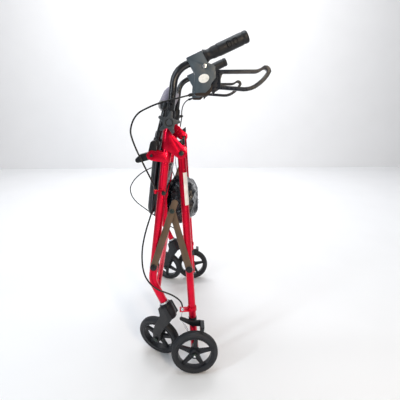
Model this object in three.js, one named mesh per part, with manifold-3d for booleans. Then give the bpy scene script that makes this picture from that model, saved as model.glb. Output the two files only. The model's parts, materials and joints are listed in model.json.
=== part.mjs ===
// Rollator walker, folded and standing on its four wheels. Millimetres, +Z up.
// -X is the front, +X the user's side, -Y the left side. Z = 0 is the floor.
// Pieces are drawn about the rear axle and the mid-plane; the whole is then moved onto its own centre.
import * as THREE from 'three';
import { mergeVertices } from 'three/addons/utils/BufferGeometryUtils.js';
import Module from 'manifold-3d';

const wasm = await Module();
wasm.setup();

// ---------------------------------------------------------------- driving dimensions

const REAR_AXLE_X = 34.37;         // rear axle and mid-plane in the part's own frame
const MID_PLANE_Y = -3.73;
const GAP = 0.3;                   // clearance between pieces that touch

// frame, seen from the side
const LEG_Y = 276;                 // side planes of legs, handles and casters
const LEG_R = 12.5;
const LEG_BORE = 11.3;
const REAR_LEG_R = 12;
const REAR_LEG_BORE = 10.5;
const HANDLE_R = 11;
const HANDLE_BORE = 9.5;
const KNEE = { x: -132.7, z: 304.6 };          // bend of the front leg
const HANDLE_CORNER = { x: -50.7, z: 943.2 };  // leg axis meets grip axis
const GRIP_RISE = 24.5;            // degrees; level once the frame is open
const STEM_LEAN = 24.5;            // degrees; upright once the frame is open
const STEM_LENGTH = 88.5;          // knee to the end of the front leg
const LEG_TOP = 506;               // along the leg axis from the knee
const HINGE = { x: -35.5, z: 712 };            // pivot of the rear leg
const REAR_LEG_OVER = 24;          // rear leg beyond its pivot
const BOLT_R = 4;
const BOLT_HOLE = 4.3;
const BRACKET_WALL = 3;

// wheels and casters
const WHEEL_R = 75;
const TYRE_SIDES = 28;
const TYRE_HALF = 12.5;
const RIM_R = 59;
const HUB_R = 14;
const HUB_HALF = 15;
const AXLE_R = 4.8;
const REAR_WHEEL_Y = 324;
const TRAIL = 95;                  // caster axle behind its swivel axis
const REAR_SPOKES = 54;            // degrees that the spokes are turned
const CASTER_STANCE = {            // how each caster is turned, and its axle's drop below the stem's foot
  left: { turn: 28, drop: 125.75, spokes: 18 },
  right: { turn: 24, drop: 124.25, spokes: 54 },
};
const STEM_R = 10.4;

// seat, backrest and bag
const SEAT_PIVOT = 292;            // along the leg axis from the knee
const SEAT_PIVOT_BACK = 6;         // behind the leg axis
const SEAT_LOW = -102;             // seat ends, measured from its pivot along the leg
const SEAT_HIGH = 190;
const SEAT_HALF_WIDTH = 226;
const BOARD_FRONT = 20;            // board and cushion faces, in front of the leg axis
const BOARD_THICK = 8;
const CUSHION_FRONT = 43;
const BACKREST_PIVOT = { x: -122, z: 706 };
const BACKREST_Y = 243;
const BACKREST_R = 9.5;

// side links
const LINK_FRONT = { x: -125.8, z: 358 };
const LINK_REAR = { x: -15.2, z: 347.3 };
const LINK_MID = { x: -65.4, z: 539 };
const LINK_R = 10;
const LINK_TAIL = 27;

// ---------------------------------------------------------------- materials

const paint = (color, roughness, metalness) =>
  new THREE.MeshStandardMaterial({ color, roughness, metalness });
const red = paint(0xb3122a, 0.3, 0.6);
const black = paint(0x15161a, 0.28, 0.3);
const plastic = paint(0x26282c, 0.55, 0);
const housingGrey = paint(0x55606c, 0.5, 0);
const rubber = paint(0x44474c, 0.8, 0);
const steel = paint(0xb9bcc0, 0.3, 1);
const linkBrown = paint(0x3b322c, 0.45, 0.4);
const vinyl = paint(0x17181b, 0.5, 0);
const fabric = paint(0x77707f, 0.9, 0);

// ---------------------------------------------------------------- geometry helpers

const rad = THREE.MathUtils.degToRad;
const v3 = (x, y, z) => new THREE.Vector3(x, y, z);
const at = (p, y) => v3(p.x, y, p.z);

function polar(origin, degreesFromUp, length) {
  const a = rad(degreesFromUp);
  return { x: origin.x + length * Math.sin(a), z: origin.z + length * Math.cos(a) };
}

function solid(geometry) {
  const bare = geometry.index ? geometry.clone() : geometry;
  bare.deleteAttribute('normal');
  bare.deleteAttribute('uv');
  const merged = mergeVertices(bare, 1e-3);
  const mesh = new wasm.Mesh({
    numProp: 3,
    vertProperties: new Float32Array(merged.attributes.position.array),
    triVerts: new Uint32Array(merged.index.array),
  });
  return new wasm.Manifold(mesh);
}

function surface(manifold) {
  const mesh = manifold.getMesh();
  const geometry = new THREE.BufferGeometry();
  geometry.setAttribute('position', new THREE.BufferAttribute(mesh.vertProperties, 3));
  geometry.setIndex(new THREE.BufferAttribute(mesh.triVerts, 1));
  return geometry;
}

const join = (...geometries) => surface(geometries.map(solid).reduce((a, b) => a.add(b)));
const cut = (base, ...tools) => surface(tools.map(solid).reduce((a, b) => a.subtract(b), solid(base)));
const common = (a, b) => surface(solid(a).intersect(solid(b)));

// cylinder between two points
function rod(a, b, radius, sides = 16) {
  const axis = b.clone().sub(a);
  const geometry = new THREE.CylinderGeometry(radius, radius, axis.length(), sides);
  const turn = new THREE.Quaternion().setFromUnitVectors(v3(0, 1, 0), axis.clone().normalize());
  geometry.applyQuaternion(turn);
  return geometry.translate(...a.clone().add(b).multiplyScalar(0.5).toArray());
}

const crossRod = (p, y0, y1, radius, sides) => rod(at(p, y0), at(p, y1), radius, sides);

// turned piece; the profile is [radius, distance along the axis] pairs
function turned(profile, from, direction, sides = 20) {
  const points = profile.map(([r, h]) => new THREE.Vector2(r, h));
  const geometry = new THREE.LatheGeometry(points, sides);
  const turn = new THREE.Quaternion().setFromUnitVectors(v3(0, 1, 0), direction.clone().normalize());
  return geometry.applyQuaternion(turn).translate(...from.toArray());
}

// flat piece drawn in the X-Z plane, between two Y values
function plate(shape, y0, y1, curveSegments = 6) {
  const depth = Math.abs(y1 - y0);
  const geometry = new THREE.ExtrudeGeometry(shape, { depth, bevelEnabled: false, curveSegments });
  return geometry.rotateX(Math.PI / 2).translate(0, Math.max(y0, y1), 0);
}

function outline(points) {
  return new THREE.Shape(points.map(([x, z]) => new THREE.Vector2(x, z)));
}

// round-ended bar through two or more centres, each [point, radius], as a convex outline
function barShape(centres, steps = 12) {
  const cloud = [];
  for (const [p, r] of centres) {
    for (let i = 0; i < steps; i += 1) {
      const a = (2 * Math.PI * i) / steps;
      cloud.push(new THREE.Vector2(p.x + r * Math.cos(a), p.z + r * Math.sin(a)));
    }
  }
  cloud.sort((a, b) => a.x - b.x || a.y - b.y);
  const turnOf = (o, a, b) => (a.x - o.x) * (b.y - o.y) - (a.y - o.y) * (b.x - o.x);
  const half = (points) => points.reduce((hull, p) => {
    while (hull.length > 1 && turnOf(hull[hull.length - 2], hull[hull.length - 1], p) <= 1e-9) hull.pop();
    hull.push(p);
    return hull;
  }, []);
  const lower = half(cloud);
  const upper = half(cloud.slice().reverse());
  return new THREE.Shape(lower.slice(0, -1).concat(upper.slice(0, -1)));
}

// path through corner points with round bends; only the bends are subdivided
class BentPath extends THREE.Curve {
  constructor(corners, radius, bendSteps = 6) {
    super();
    this.stations = [{ point: corners[0], tangent: corners[1].clone().sub(corners[0]).normalize() }];
    for (let i = 1; i < corners.length - 1; i += 1) {
      this.addBend(corners[i - 1], corners[i], corners[i + 1], radius[i - 1] ?? radius, bendSteps);
    }
    const last = corners.length - 1;
    const tangent = corners[last].clone().sub(corners[last - 1]).normalize();
    this.stations.push({ point: corners[last], tangent });
  }

  addBend(before, corner, after, radius, steps) {
    const into = corner.clone().sub(before).normalize();
    const out = after.clone().sub(corner).normalize();
    const angle = into.angleTo(out);
    const reach = radius * Math.tan(angle / 2);
    const start = corner.clone().addScaledVector(into, -reach);
    const side = out.clone().addScaledVector(into, -Math.cos(angle)).normalize();
    for (let i = 0; i <= steps; i += 1) {
      const a = (angle * i) / steps;
      const point = start.clone().addScaledVector(into, radius * Math.sin(a));
      point.addScaledVector(side, radius * (1 - Math.cos(a)));
      const tangent = into.clone().multiplyScalar(Math.cos(a)).addScaledVector(side, Math.sin(a));
      this.stations.push({ point, tangent });
    }
  }

  station(t) {
    return this.stations[Math.round(t * (this.stations.length - 1))];
  }

  getPoint(t) {
    return this.station(t).point.clone();
  }

  getPointAt(t) {
    return this.getPoint(t);
  }

  getTangentAt(t) {
    return this.station(t).tangent.clone();
  }
}

function disc(radius, bore = 0) {
  const shape = new THREE.Shape().absarc(0, 0, radius, 0, 2 * Math.PI);
  if (bore > 0) shape.holes.push(new THREE.Path().absarc(0, 0, bore, 0, 2 * Math.PI, true));
  return shape;
}

// sweep of a section along a BentPath, or along any curve in equal steps
function sweep(section, path, curveSegments = 8, steps = 0) {
  const count = steps || path.stations.length - 1;
  return new THREE.ExtrudeGeometry(section, { steps: count, extrudePath: path, curveSegments });
}

// closed skin over rings of equal point count
function loft(rings) {
  const count = rings[0].length;
  const positions = [];
  const index = [];
  rings.flat().forEach((p) => positions.push(p.x, p.y, p.z));
  for (let i = 0; i + 1 < rings.length; i += 1) {
    for (let j = 0; j < count; j += 1) {
      const a = i * count + j;
      const b = i * count + ((j + 1) % count);
      index.push(a, a + count, b, b, a + count, b + count);
    }
  }
  const capAt = (base, flip) => {
    for (let j = 1; j + 1 < count; j += 1) {
      index.push(base, ...(flip ? [base + j + 1, base + j] : [base + j, base + j + 1]));
    }
  };
  capAt(0, false);
  capAt((rings.length - 1) * count, true);
  const geometry = new THREE.BufferGeometry();
  geometry.setAttribute('position', new THREE.Float32BufferAttribute(positions, 3));
  geometry.setIndex(index);
  return geometry;
}

// ---------------------------------------------------------------- places on the frame

const LEG_LEAN = THREE.MathUtils.radToDeg(
  Math.atan2(HANDLE_CORNER.x - KNEE.x, HANDLE_CORNER.z - KNEE.z));
const alongLeg = (distance) => polar(KNEE, LEG_LEAN, distance);
// point on the leg's own grid: up along the leg from the knee, and forward of its axis
const onLeg = (up, forward) => polar(alongLeg(up), LEG_LEAN - 90, forward);
const LEG_END = polar(KNEE, -STEM_LEAN, -STEM_LENGTH);
const alongGrip = (u, v = 0) => polar(polar(HANDLE_CORNER, 90 - GRIP_RISE, u), -GRIP_RISE, v);
const REAR_AXLE = { x: 0, z: WHEEL_R };
const REAR_LEAN = THREE.MathUtils.radToDeg(
  Math.atan2(HINGE.x - REAR_AXLE.x, HINGE.z - REAR_AXLE.z));
const alongRear = (distance) => polar(REAR_AXLE, REAR_LEAN, distance);
const SEAT_AXIS = onLeg(SEAT_PIVOT, -SEAT_PIVOT_BACK);

const object = new THREE.Group();
object.position.set(REAR_AXLE_X, MID_PLANE_Y, 0);

function add(name, geometry, material) {
  const mesh = new THREE.Mesh(geometry, material);
  mesh.name = name;
  object.add(mesh);
}

// ---------------------------------------------------------------- front frame

const KNOB_UP = 500;               // knob and its holes, along the leg axis
const HOLE_PITCH = 25.4;
const GUIDE = { x: -113, z: 600 }; // cable guide on the front leg
const GUIDE_Y = 296;
const CROSSBAR_UP = 36;            // below the knee, along the stem

function frontLeg(side) {
  const y = side * LEG_Y;
  const corners = [at(alongLeg(LEG_TOP), y), at(KNEE, y), at(LEG_END, y)];
  const tube = sweep(disc(LEG_R, LEG_BORE), new BentPath(corners, 70, 3));
  const seatHole = crossRod(SEAT_AXIS, y - 20, y + 20, BOLT_HOLE, 12);
  const outerHoles = [LINK_FRONT, alongLeg(KNOB_UP)].map((p) =>
    crossRod(p, y, y + side * 20, BOLT_HOLE, 12));
  const arm = rod(at(alongLeg(300), y + side * 11.9), at(GUIDE, side * GUIDE_Y), 3, 6);
  const eye = rod(at({ x: GUIDE.x, z: GUIDE.z - 6 }, side * GUIDE_Y),
    at({ x: GUIDE.x, z: GUIDE.z + 6 }, side * GUIDE_Y), 4.5, 10);
  return join(cut(tube, seatHole, ...outerHoles), arm, eye);
}

// folded plate that wraps a leg and reaches past it on both sides; reach is +1 back, -1 forward
function wrapBracket(side, profile, up, reach, pivot) {
  const y = side * LEG_Y;
  const inner = LEG_R + GAP;
  const outer = inner + BRACKET_WALL;
  const low = at(alongLeg(up - 80), y);
  const high = at(alongLeg(up + 80), y);
  const slab = (half) => plate(outline([
    [low.x, low.z], [low.x + reach * 90, low.z], [high.x + reach * 90, high.z], [high.x, high.z],
  ]), y - half, y + half);
  const hull = join(rod(low, high, outer, 16), slab(outer));
  const hollow = join(rod(low, high, inner, 16), slab(inner));
  const block = plate(profile, y - outer, y + outer);
  return cut(common(block, hull), hollow, crossRod(pivot, y - 30, y + 30, BOLT_HOLE, 12));
}

function hingeBracket(side) {
  const profile = outline([
    [HINGE.x - 60, HINGE.z + 18], [HINGE.x - 32, HINGE.z + 2], [HINGE.x - 10, HINGE.z - 14],
    [HINGE.x, HINGE.z - 17], [HINGE.x + 12, HINGE.z - 12], [HINGE.x + 17, HINGE.z],
    [HINGE.x + 16, HINGE.z + 12], [HINGE.x - 36, HINGE.z + 60], [HINGE.x - 58, HINGE.z + 69],
  ]);
  return wrapBracket(side, profile, 440, 1, HINGE);
}

function backrestBracket(side) {
  const p = BACKREST_PIVOT;
  const profile = outline([
    [p.x + 62, p.z - 24], [p.x + 66, p.z + 5], [p.x, p.z + 15], [p.x - 11, p.z + 10],
    [p.x - 15, p.z], [p.x - 11, p.z - 10], [p.x, p.z - 15],
  ]);
  return wrapBracket(side, profile, 403, -1, p);
}

function clampSleeve(side) {
  const y = side * LEG_Y;
  const low = alongLeg(483);
  const direction = at(alongLeg(484), 0).sub(at(low, 0));
  const step = LEG_TOP - 483 + GAP;
  const collar = turned([[LEG_R + GAP, 0], [15.5, 0], [15.5, 40], [14, 50], [HANDLE_R + GAP, 50],
    [HANDLE_R + GAP, step], [LEG_R + GAP, step], [LEG_R + GAP, 0]], at(low, y), direction, 16);
  const boss = crossRod(alongLeg(KNOB_UP), y + side * 14, y + side * 30, 10, 14);
  const bore = crossRod(alongLeg(KNOB_UP), y, y + side * 40, BOLT_HOLE, 12);
  const clear = rod(at(alongLeg(470), y), at(alongLeg(LEG_TOP), y), LEG_R + GAP, 16);
  return cut(join(collar, boss), bore, clear);
}

function starKnob(side) {
  const y = side * LEG_Y;
  const centre = alongLeg(KNOB_UP);
  const arms = 5;
  const points = [];
  for (let i = 0; i < arms; i += 1) {
    const tip = rad(4 + (360 * i) / arms);
    for (const [r, a] of [[31, -0.12], [32.5, 0], [31, 0.12], [15, 0.52], [15, 0.74]]) {
      points.push([centre.x + r * Math.cos(tip + a), centre.z + r * Math.sin(tip + a)]);
    }
  }
  const star = plate(outline(points), y + side * 31, y + side * 43);
  const hub = crossRod(centre, y + side * 30.5, y + side * 47, 17, 16);
  const recess = crossRod(centre, y + side * 45, y + side * 50, 11, 14);
  const screw = crossRod(centre, y + side * 11.5, y + side * 32, BOLT_R, 12);
  return join(cut(join(star, hub), recess), screw);
}

// bolt along Y with a round head outside and a nut inside
function bolt(p, side, inner, outer, headR = 7) {
  const shaft = crossRod(p, side * inner, side * outer, BOLT_R, 12);
  const head = crossRod(p, side * (outer - 0.01), side * (outer + 4), headR, 12);
  const nut = crossRod(p, side * (inner - 5), side * (inner + 0.01), headR - 0.5, 6);
  return join(shaft, head, nut);
}

function seatBolt(side) {
  const y = side * LEG_Y;
  const head = crossRod(SEAT_AXIS, y + side * (LEG_R + GAP), y + side * (LEG_R + 4.5), 6.5, 12);
  const shaft = crossRod(SEAT_AXIS, y + side * (LEG_R + 1), y - side * 45, BOLT_R, 12);
  return join(head, shaft);
}

for (const [side, word] of [[-1, 'left'], [1, 'right']]) {
  const cheek = LEG_R + GAP + BRACKET_WALL + GAP;
  add(`front_leg_${word}`, frontLeg(side), red);
  add(`hinge_bracket_${word}`, hingeBracket(side), red);
  add(`backrest_bracket_${word}`, backrestBracket(side), red);
  add(`clamp_sleeve_${word}`, clampSleeve(side), plastic);
  add(`star_knob_${word}`, starKnob(side), plastic);
  add(`hinge_bolt_${word}`, bolt(HINGE, side, LEG_Y - cheek, LEG_Y + cheek), black);
  add(`seat_bolt_${word}`, seatBolt(side), black);
}

add('front_crossbar', (() => {
  const p = polar(KNEE, -STEM_LEAN, -CROSSBAR_UP);
  const bar = sweep(disc(9, 7.5), new BentPath([at(p, -LEG_Y), at(p, LEG_Y)], 1));
  const legs = [-1, 1].map((side) =>
    rod(at(KNEE, side * LEG_Y), at(LEG_END, side * LEG_Y), LEG_R + GAP, 20));
  return surface(solid(cut(bar, ...legs)).decompose().sort((a, b) => b.volume() - a.volume())[0]);
})(), red);

// ---------------------------------------------------------------- handles, brake levers

const HANDLE_LOW = 385;            // lower end of the handle tube, along the leg axis
const HANDLE_BEND = 62;
const GRIP_START = 91;
const GRIP_END = 222;
const HOUSING_HALF = 17;
const LEVER_PIVOT = alongGrip(77.3, -25.6);
const LEVER_HALF = 5.5;
const LOOP_HALF = 8;
const ADJUSTER_BACK = { x: 12, z: 881.5 };      // cable adjuster, out of the housing's front
const ADJUSTER_FRONT = { x: -8, z: 876 };

function handleTube(side) {
  const y = side * LEG_Y;
  const corners = [at(alongLeg(HANDLE_LOW), y), at(HANDLE_CORNER, y), at(alongGrip(GRIP_END - 8), y)];
  const tube = sweep(disc(HANDLE_R, HANDLE_BORE), new BentPath(corners, HANDLE_BEND, 5));
  const holes = [1, 2, 3].map((i) =>
    crossRod(alongLeg(KNOB_UP + i * HOLE_PITCH), y, y + side * 20, 3.2, 8));
  return cut(tube, ...holes);
}

function brakeHousing(side) {
  const y = side * LEG_Y;
  const edge = [[41, 14.5], [45, -35], [24, -72], [26, -86], [53, -98], [67, -93], [75, -76],
    [94, -66], [105, -38], [90, -20], [87, 14.5]];
  const body = plate(outline(edge.map(([u, v]) => {
    const p = alongGrip(u, v);
    return [p.x, p.z];
  })), y - HOUSING_HALF, y + HOUSING_HALF);
  const tubeBore = rod(at(alongGrip(30), y), at(alongGrip(100), y), HANDLE_R + GAP, 16);
  const slotEdge = [[62, -14], [57, -60], [53, -101], [130, -90], [130, -14]];
  const slot = plate(outline(slotEdge.map(([u, v]) => {
    const p = alongGrip(u, v);
    return [p.x, p.z];
  })), y - LEVER_HALF - 1, y + LEVER_HALF + 1);
  const pinBore = crossRod(LEVER_PIVOT, y - 30, y + 30, 3.3, 12);
  const adjuster = rod(at(ADJUSTER_BACK, side * (LEG_Y + 6)), at(ADJUSTER_FRONT, side * (LEG_Y + 8)), 4, 10);
  return cut(join(body, adjuster), tubeBore, slot, pinBore);
}

function grip(side) {
  const profile = [[0, GRIP_END - 6], [HANDLE_R + GAP, GRIP_END - 6], [HANDLE_R + GAP, GRIP_START],
    [19.5, GRIP_START], [19.5, GRIP_START + 3], [15.5, GRIP_START + 10], [15.5, GRIP_START + 19],
    [17.5, GRIP_START + 30], [17.5, GRIP_END - 4], [15.5, GRIP_END], [0, GRIP_END]];
  const direction = at(alongGrip(1), 0).sub(at(HANDLE_CORNER, 0));
  return turned(profile, at(HANDLE_CORNER, side * LEG_Y), direction, 16);
}

// looped lever: a hub in the housing's slot and a closed loop below the grip
function brakeLever(side) {
  const y = side * LEG_Y;
  const p = LEVER_PIVOT;
  const hub = plate(barShape([[p, 9], [{ x: p.x + 27, z: p.z - 14 }, 7], [{ x: p.x + 21, z: p.z - 42 }, 9]]),
    y - LEVER_HALF, y + LEVER_HALF);
  const neck = plate(outline([
    [p.x + 18, p.z - 40], [p.x + 24, p.z - 78], [p.x + 32, p.z - 68], [p.x + 50, p.z - 56],
    [p.x + 56, p.z - 30], [p.x + 48, p.z - 9], [p.x + 30, p.z - 6],
  ]), y - LEVER_HALF, y + LEVER_HALF);
  const loop = new THREE.Shape();
  loop.moveTo(p.x + 40, p.z - 8);
  loop.lineTo(p.x + 146, p.z - 7);
  loop.quadraticCurveTo(p.x + 158, p.z - 5, p.x + 168, p.z + 4);
  loop.quadraticCurveTo(p.x + 184, p.z + 6, p.x + 188, p.z - 12);
  loop.quadraticCurveTo(p.x + 178, p.z - 38, p.x + 146, p.z - 58);
  loop.quadraticCurveTo(p.x + 124, p.z - 69, p.x + 100, p.z - 65);
  loop.lineTo(p.x + 44, p.z - 61);
  const gap = new THREE.Shape();
  gap.moveTo(p.x + 52, p.z - 19);
  gap.quadraticCurveTo(p.x + 44, p.z - 32, p.x + 48, p.z - 50);
  gap.lineTo(p.x + 104, p.z - 54);
  gap.quadraticCurveTo(p.x + 124, p.z - 57, p.x + 142, p.z - 47);
  gap.quadraticCurveTo(p.x + 168, p.z - 30, p.x + 177, p.z - 12);
  gap.quadraticCurveTo(p.x + 172, p.z - 5, p.x + 164, p.z - 8);
  gap.quadraticCurveTo(p.x + 152, p.z - 18, p.x + 142, p.z - 18);
  const opening = plate(gap, y - LOOP_HALF - 1, y + LOOP_HALF + 1, 4);
  const ring = plate(loop, y - LOOP_HALF, y + LOOP_HALF, 4);
  const pinBore = crossRod(p, y - 30, y + 30, 3.3, 12);
  return cut(join(hub, cut(neck, opening), cut(ring, opening)), pinBore);
}

function leverPin(side) {
  const y = LEG_Y;
  const end = HOUSING_HALF + GAP;
  const shaft = crossRod(LEVER_PIVOT, side * (y - end), side * (y + end), 3, 12);
  const heads = [[y - end - 3, y - end + 0.01], [y + end - 0.01, y + end + 3]];
  return join(shaft, ...heads.map(([a, b]) => crossRod(LEVER_PIVOT, side * a, side * b, 6, 12)));
}

for (const [side, word] of [[-1, 'left'], [1, 'right']]) {
  add(`handle_tube_${word}`, handleTube(side), black);
  add(`brake_housing_${word}`, brakeHousing(side), housingGrey);
  add(`grip_${word}`, grip(side), plastic);
  add(`lever_pin_${word}`, leverPin(side), steel);
  add(`brake_lever_${word}`, brakeLever(side), plastic);
}

// ---------------------------------------------------------------- rear legs and brakes

const REAR_TOP = Math.hypot(HINGE.x - REAR_AXLE.x, HINGE.z - REAR_AXLE.z) + REAR_LEG_OVER;
const BRAKE_PIVOT = alongRear(83);
const STOP_UP = 128;               // cable stop, along the rear leg
const STOP = { x: -38, z: 205 };
const STOP_Y = 290;

function rearLeg(side) {
  const y = side * LEG_Y;
  const axis = new BentPath([at(alongRear(-18), y), at(alongRear(REAR_TOP), y)], 1);
  const tube = sweep(disc(REAR_LEG_R, REAR_LEG_BORE), axis);
  const holes = [LINK_REAR, BRAKE_PIVOT].map((p) => crossRod(p, y, y + side * 20, BOLT_HOLE, 12));
  holes.push(crossRod(HINGE, y - 20, y + 20, BOLT_HOLE, 12));
  return cut(tube, ...holes, crossRod(REAR_AXLE, y - 20, y + 20, AXLE_R + GAP, 12));
}

function cableStop(side) {
  const y = side * LEG_Y;
  const low = at(alongRear(STOP_UP - 7), y);
  const high = at(alongRear(STOP_UP + 7), y);
  const band = rod(low, high, REAR_LEG_R + 2.8, 16);
  const ledge = new THREE.BoxGeometry(34, 26, 3).translate(-30, side * (STOP_Y - 9), STOP.z - 3);
  const ferrule = rod(at({ x: STOP.x, z: STOP.z - 6 }, side * STOP_Y),
    at({ x: STOP.x, z: STOP.z + 12 }, side * STOP_Y), 4, 10);
  const legRoom = rod(at(alongRear(50), y), at(alongRear(200), y), REAR_LEG_R + GAP, 16);
  return cut(join(band, ledge, ferrule), legRoom);
}

// bell crank: cable end in front of the leg, shoe over the tyre behind it
function brakeArm(side) {
  const plane = [LEG_Y + REAR_LEG_R + 1.5, LEG_Y + REAR_LEG_R + 7.5].map((y) => side * y);
  const elbow = { x: 16, z: 164 };
  const toe = { x: 24, z: 153 };
  const eye = { x: -42, z: 176 };
  const front = plate(barShape([[BRAKE_PIVOT, 9], [eye, 5.5]]), ...plane);
  const back = plate(barShape([[BRAKE_PIVOT, 9], [elbow, 5], [toe, 5]]), ...plane);
  const shoeWide = 40;
  const pad = new THREE.BoxGeometry(12, shoeWide, 24).rotateY(rad(8));
  pad.translate(toe.x, side * (LEG_Y + REAR_LEG_R + 1.5 + shoeWide / 2), toe.z + 2);
  const shoe = cut(pad, crossRod(REAR_AXLE, side * 280, side * 345, WHEEL_R + 3.2, 40));
  const stud = crossRod(BRAKE_PIVOT, side * (LEG_Y + 2), side * (LEG_Y + REAR_LEG_R + 3), BOLT_R, 12);
  return join(front, back, shoe, stud);
}

function rearAxle(side) {
  const from = v3(REAR_AXLE.x, side * (LEG_Y - 22), REAR_AXLE.z);
  const inside = REAR_WHEEL_Y - HUB_HALF - GAP - (LEG_Y - 22);
  const leg = 22 + REAR_LEG_R + GAP;
  const outside = inside + 2 * HUB_HALF + 2 * GAP;
  const profile = [[0, 0], [8, 0], [8, 22 - REAR_LEG_R - GAP], [AXLE_R, 22 - REAR_LEG_R - GAP],
    [AXLE_R, leg], [9, leg], [9, inside], [AXLE_R, inside], [AXLE_R, outside], [9, outside],
    [8, outside + 5], [0, outside + 6]];
  return turned(profile, from, v3(0, side, 0), 12);
}

for (const [side, word] of [[-1, 'left'], [1, 'right']]) {
  add(`rear_leg_${word}`, rearLeg(side), red);
  add(`cable_stop_${word}`, cableStop(side), red);
  add(`brake_arm_${word}`, brakeArm(side), plastic);
  add(`rear_axle_${word}`, rearAxle(side), steel);
}

// ---------------------------------------------------------------- wheels and casters

// the tread is faceted, with one facet flat on the floor
function tyre(centre) {
  const r = RIM_R + GAP;
  const w = TYRE_HALF;
  const tread = WHEEL_R / Math.cos(Math.PI / TYRE_SIDES);
  const profile = [[r, -w + 2], [66, -w], [72.5, -w + 4], [tread, -4.5], [tread, 4.5], [72.5, w - 4],
    [66, w], [r, w - 2], [r, -w + 2]];
  const ring = turned(profile, v3(0, 0, 0), v3(0, 1, 0), TYRE_SIDES);
  return ring.rotateY(Math.PI / TYRE_SIDES).translate(...centre.toArray());
}

function rim(centre, spokeTurn) {
  const w = TYRE_HALF - 1.5;
  const turnedAbout = (profile, sides) => turned(profile, v3(0, 0, 0), v3(0, 1, 0), sides);
  const ring = turnedAbout([[RIM_R, -w], [RIM_R, w], [53, w], [53, -w], [RIM_R, -w]], TYRE_SIDES);
  const hub = turnedAbout([[0, -HUB_HALF], [HUB_R, -HUB_HALF], [HUB_R, HUB_HALF], [0, HUB_HALF]], 14);
  const spokes = [];
  for (let i = 0; i < 5; i += 1) {
    const shape = outline([[8, -9], [30, -6.5], [55, -4.5], [55, 4.5], [30, 6.5], [8, 9]]);
    spokes.push(plate(shape, -4.5, 4.5).rotateY((2 * Math.PI * i) / 5 + rad(spokeTurn)));
  }
  const wheel = cut(join(ring, hub, ...spokes), rod(v3(0, -30, 0), v3(0, 30, 0), AXLE_R + GAP, 12));
  return wheel.rotateY(Math.PI / TYRE_SIDES).translate(...centre.toArray());
}

for (const [side, word] of [[-1, 'left'], [1, 'right']]) {
  const centre = at(REAR_AXLE, side * REAR_WHEEL_Y);
  add(`rear_rim_${word}`, rim(centre, REAR_SPOKES), plastic);
  add(`rear_tyre_${word}`, tyre(centre), rubber);
}

// caster frame: x along the trail, y across the wheel, z up the swivel axis
function casterFrame(side, turn) {
  const up = v3(-Math.sin(rad(STEM_LEAN)), 0, Math.cos(rad(STEM_LEAN)));
  const ahead = v3(-Math.cos(rad(STEM_LEAN)), 0, -Math.sin(rad(STEM_LEAN)));
  const trail = ahead.multiplyScalar(Math.cos(rad(turn))).add(v3(0, Math.sin(rad(turn)), 0));
  const across = up.clone().cross(trail);
  return new THREE.Matrix4().makeBasis(trail, across, up).setPosition(at(LEG_END, side * LEG_Y));
}

const PRONG_IN = HUB_HALF + GAP;
const PRONG_OUT = PRONG_IN + 6;

function casterFork(drop) {
  const axle = { x: TRAIL, z: -drop };
  const body = plate(outline([
    [-15, -6], [-17, -50], [6, -66], [40, -86], [66, -108], [84, -134], [92, -139], [100, -138],
    [106, -130], [105, -116], [92, -94], [73, -72], [42, -48], [25, -30], [18, -6],
  ]), -PRONG_OUT, PRONG_OUT);
  const head = turned([[0, 4], [19, 4], [21, 8], [21.5, 14], [21.5, 42], [17, 56], [0, 56]],
    v3(0, 0, 0), v3(0, 0, -1), 16);
  const stem = rod(v3(0, 0, -6), v3(0, 0, 42), STEM_R, 14);
  const wheelRoom = crossRod(axle, -PRONG_IN, PRONG_IN, WHEEL_R + 5, 32);
  const bore = crossRod(axle, -40, 40, AXLE_R + GAP, 12);
  return cut(join(body, head, stem), wheelRoom, bore);
}

function casterAxle(drop) {
  const end = PRONG_OUT + GAP;
  const profile = [[0, 0], [7.5, 0], [7.5, 4], [AXLE_R, 4], [AXLE_R, 4 + 2 * end], [7.5, 4 + 2 * end],
    [7.5, 8 + 2 * end], [0, 8 + 2 * end]];
  return turned(profile, v3(TRAIL, -end - 4, -drop), v3(0, 1, 0), 12);
}

for (const [side, word] of [[-1, 'left'], [1, 'right']]) {
  const { turn, drop, spokes } = CASTER_STANCE[word];
  const frame = casterFrame(side, turn);
  const centre = v3(TRAIL, 0, -drop);
  add(`caster_fork_${word}`, casterFork(drop).applyMatrix4(frame), plastic);
  add(`front_axle_${word}`, casterAxle(drop).applyMatrix4(frame), steel);
  add(`front_rim_${word}`, rim(centre, spokes).applyMatrix4(frame), plastic);
  add(`front_tyre_${word}`, tyre(centre).applyMatrix4(frame), rubber);
}

// ---------------------------------------------------------------- side links

const LINK_THICK = 3.2;
const REAR_LINK_Y = LEG_Y + LEG_R + 0.6;
const FRONT_LINK_Y = REAR_LINK_Y + LINK_THICK + 0.6;

function link(side, pivot, tail, inner) {
  const length = Math.hypot(LINK_MID.x - pivot.x, LINK_MID.z - pivot.z);
  const k = (length + tail) / length;
  const end = { x: pivot.x + (LINK_MID.x - pivot.x) * k, z: pivot.z + (LINK_MID.z - pivot.z) * k };
  const outer = inner + LINK_THICK;
  const bar = plate(barShape([[pivot, LINK_R + 1], [end, LINK_R]]), side * inner, side * outer);
  const stud = crossRod(pivot, side * (LEG_Y + 2), side * (inner + 1), BOLT_R, 12);
  const cap = crossRod(pivot, side * (outer - 0.01), side * (outer + 2), 7.5, 12);
  return join(bar, stud, cap);
}

for (const [side, word] of [[-1, 'left'], [1, 'right']]) {
  add(`front_link_${word}`, link(side, LINK_FRONT, LINK_TAIL, FRONT_LINK_Y), linkBrown);
  add(`rear_link_${word}`, link(side, LINK_REAR, 0, REAR_LINK_Y), linkBrown);
}

// ---------------------------------------------------------------- seat and bag

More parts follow.
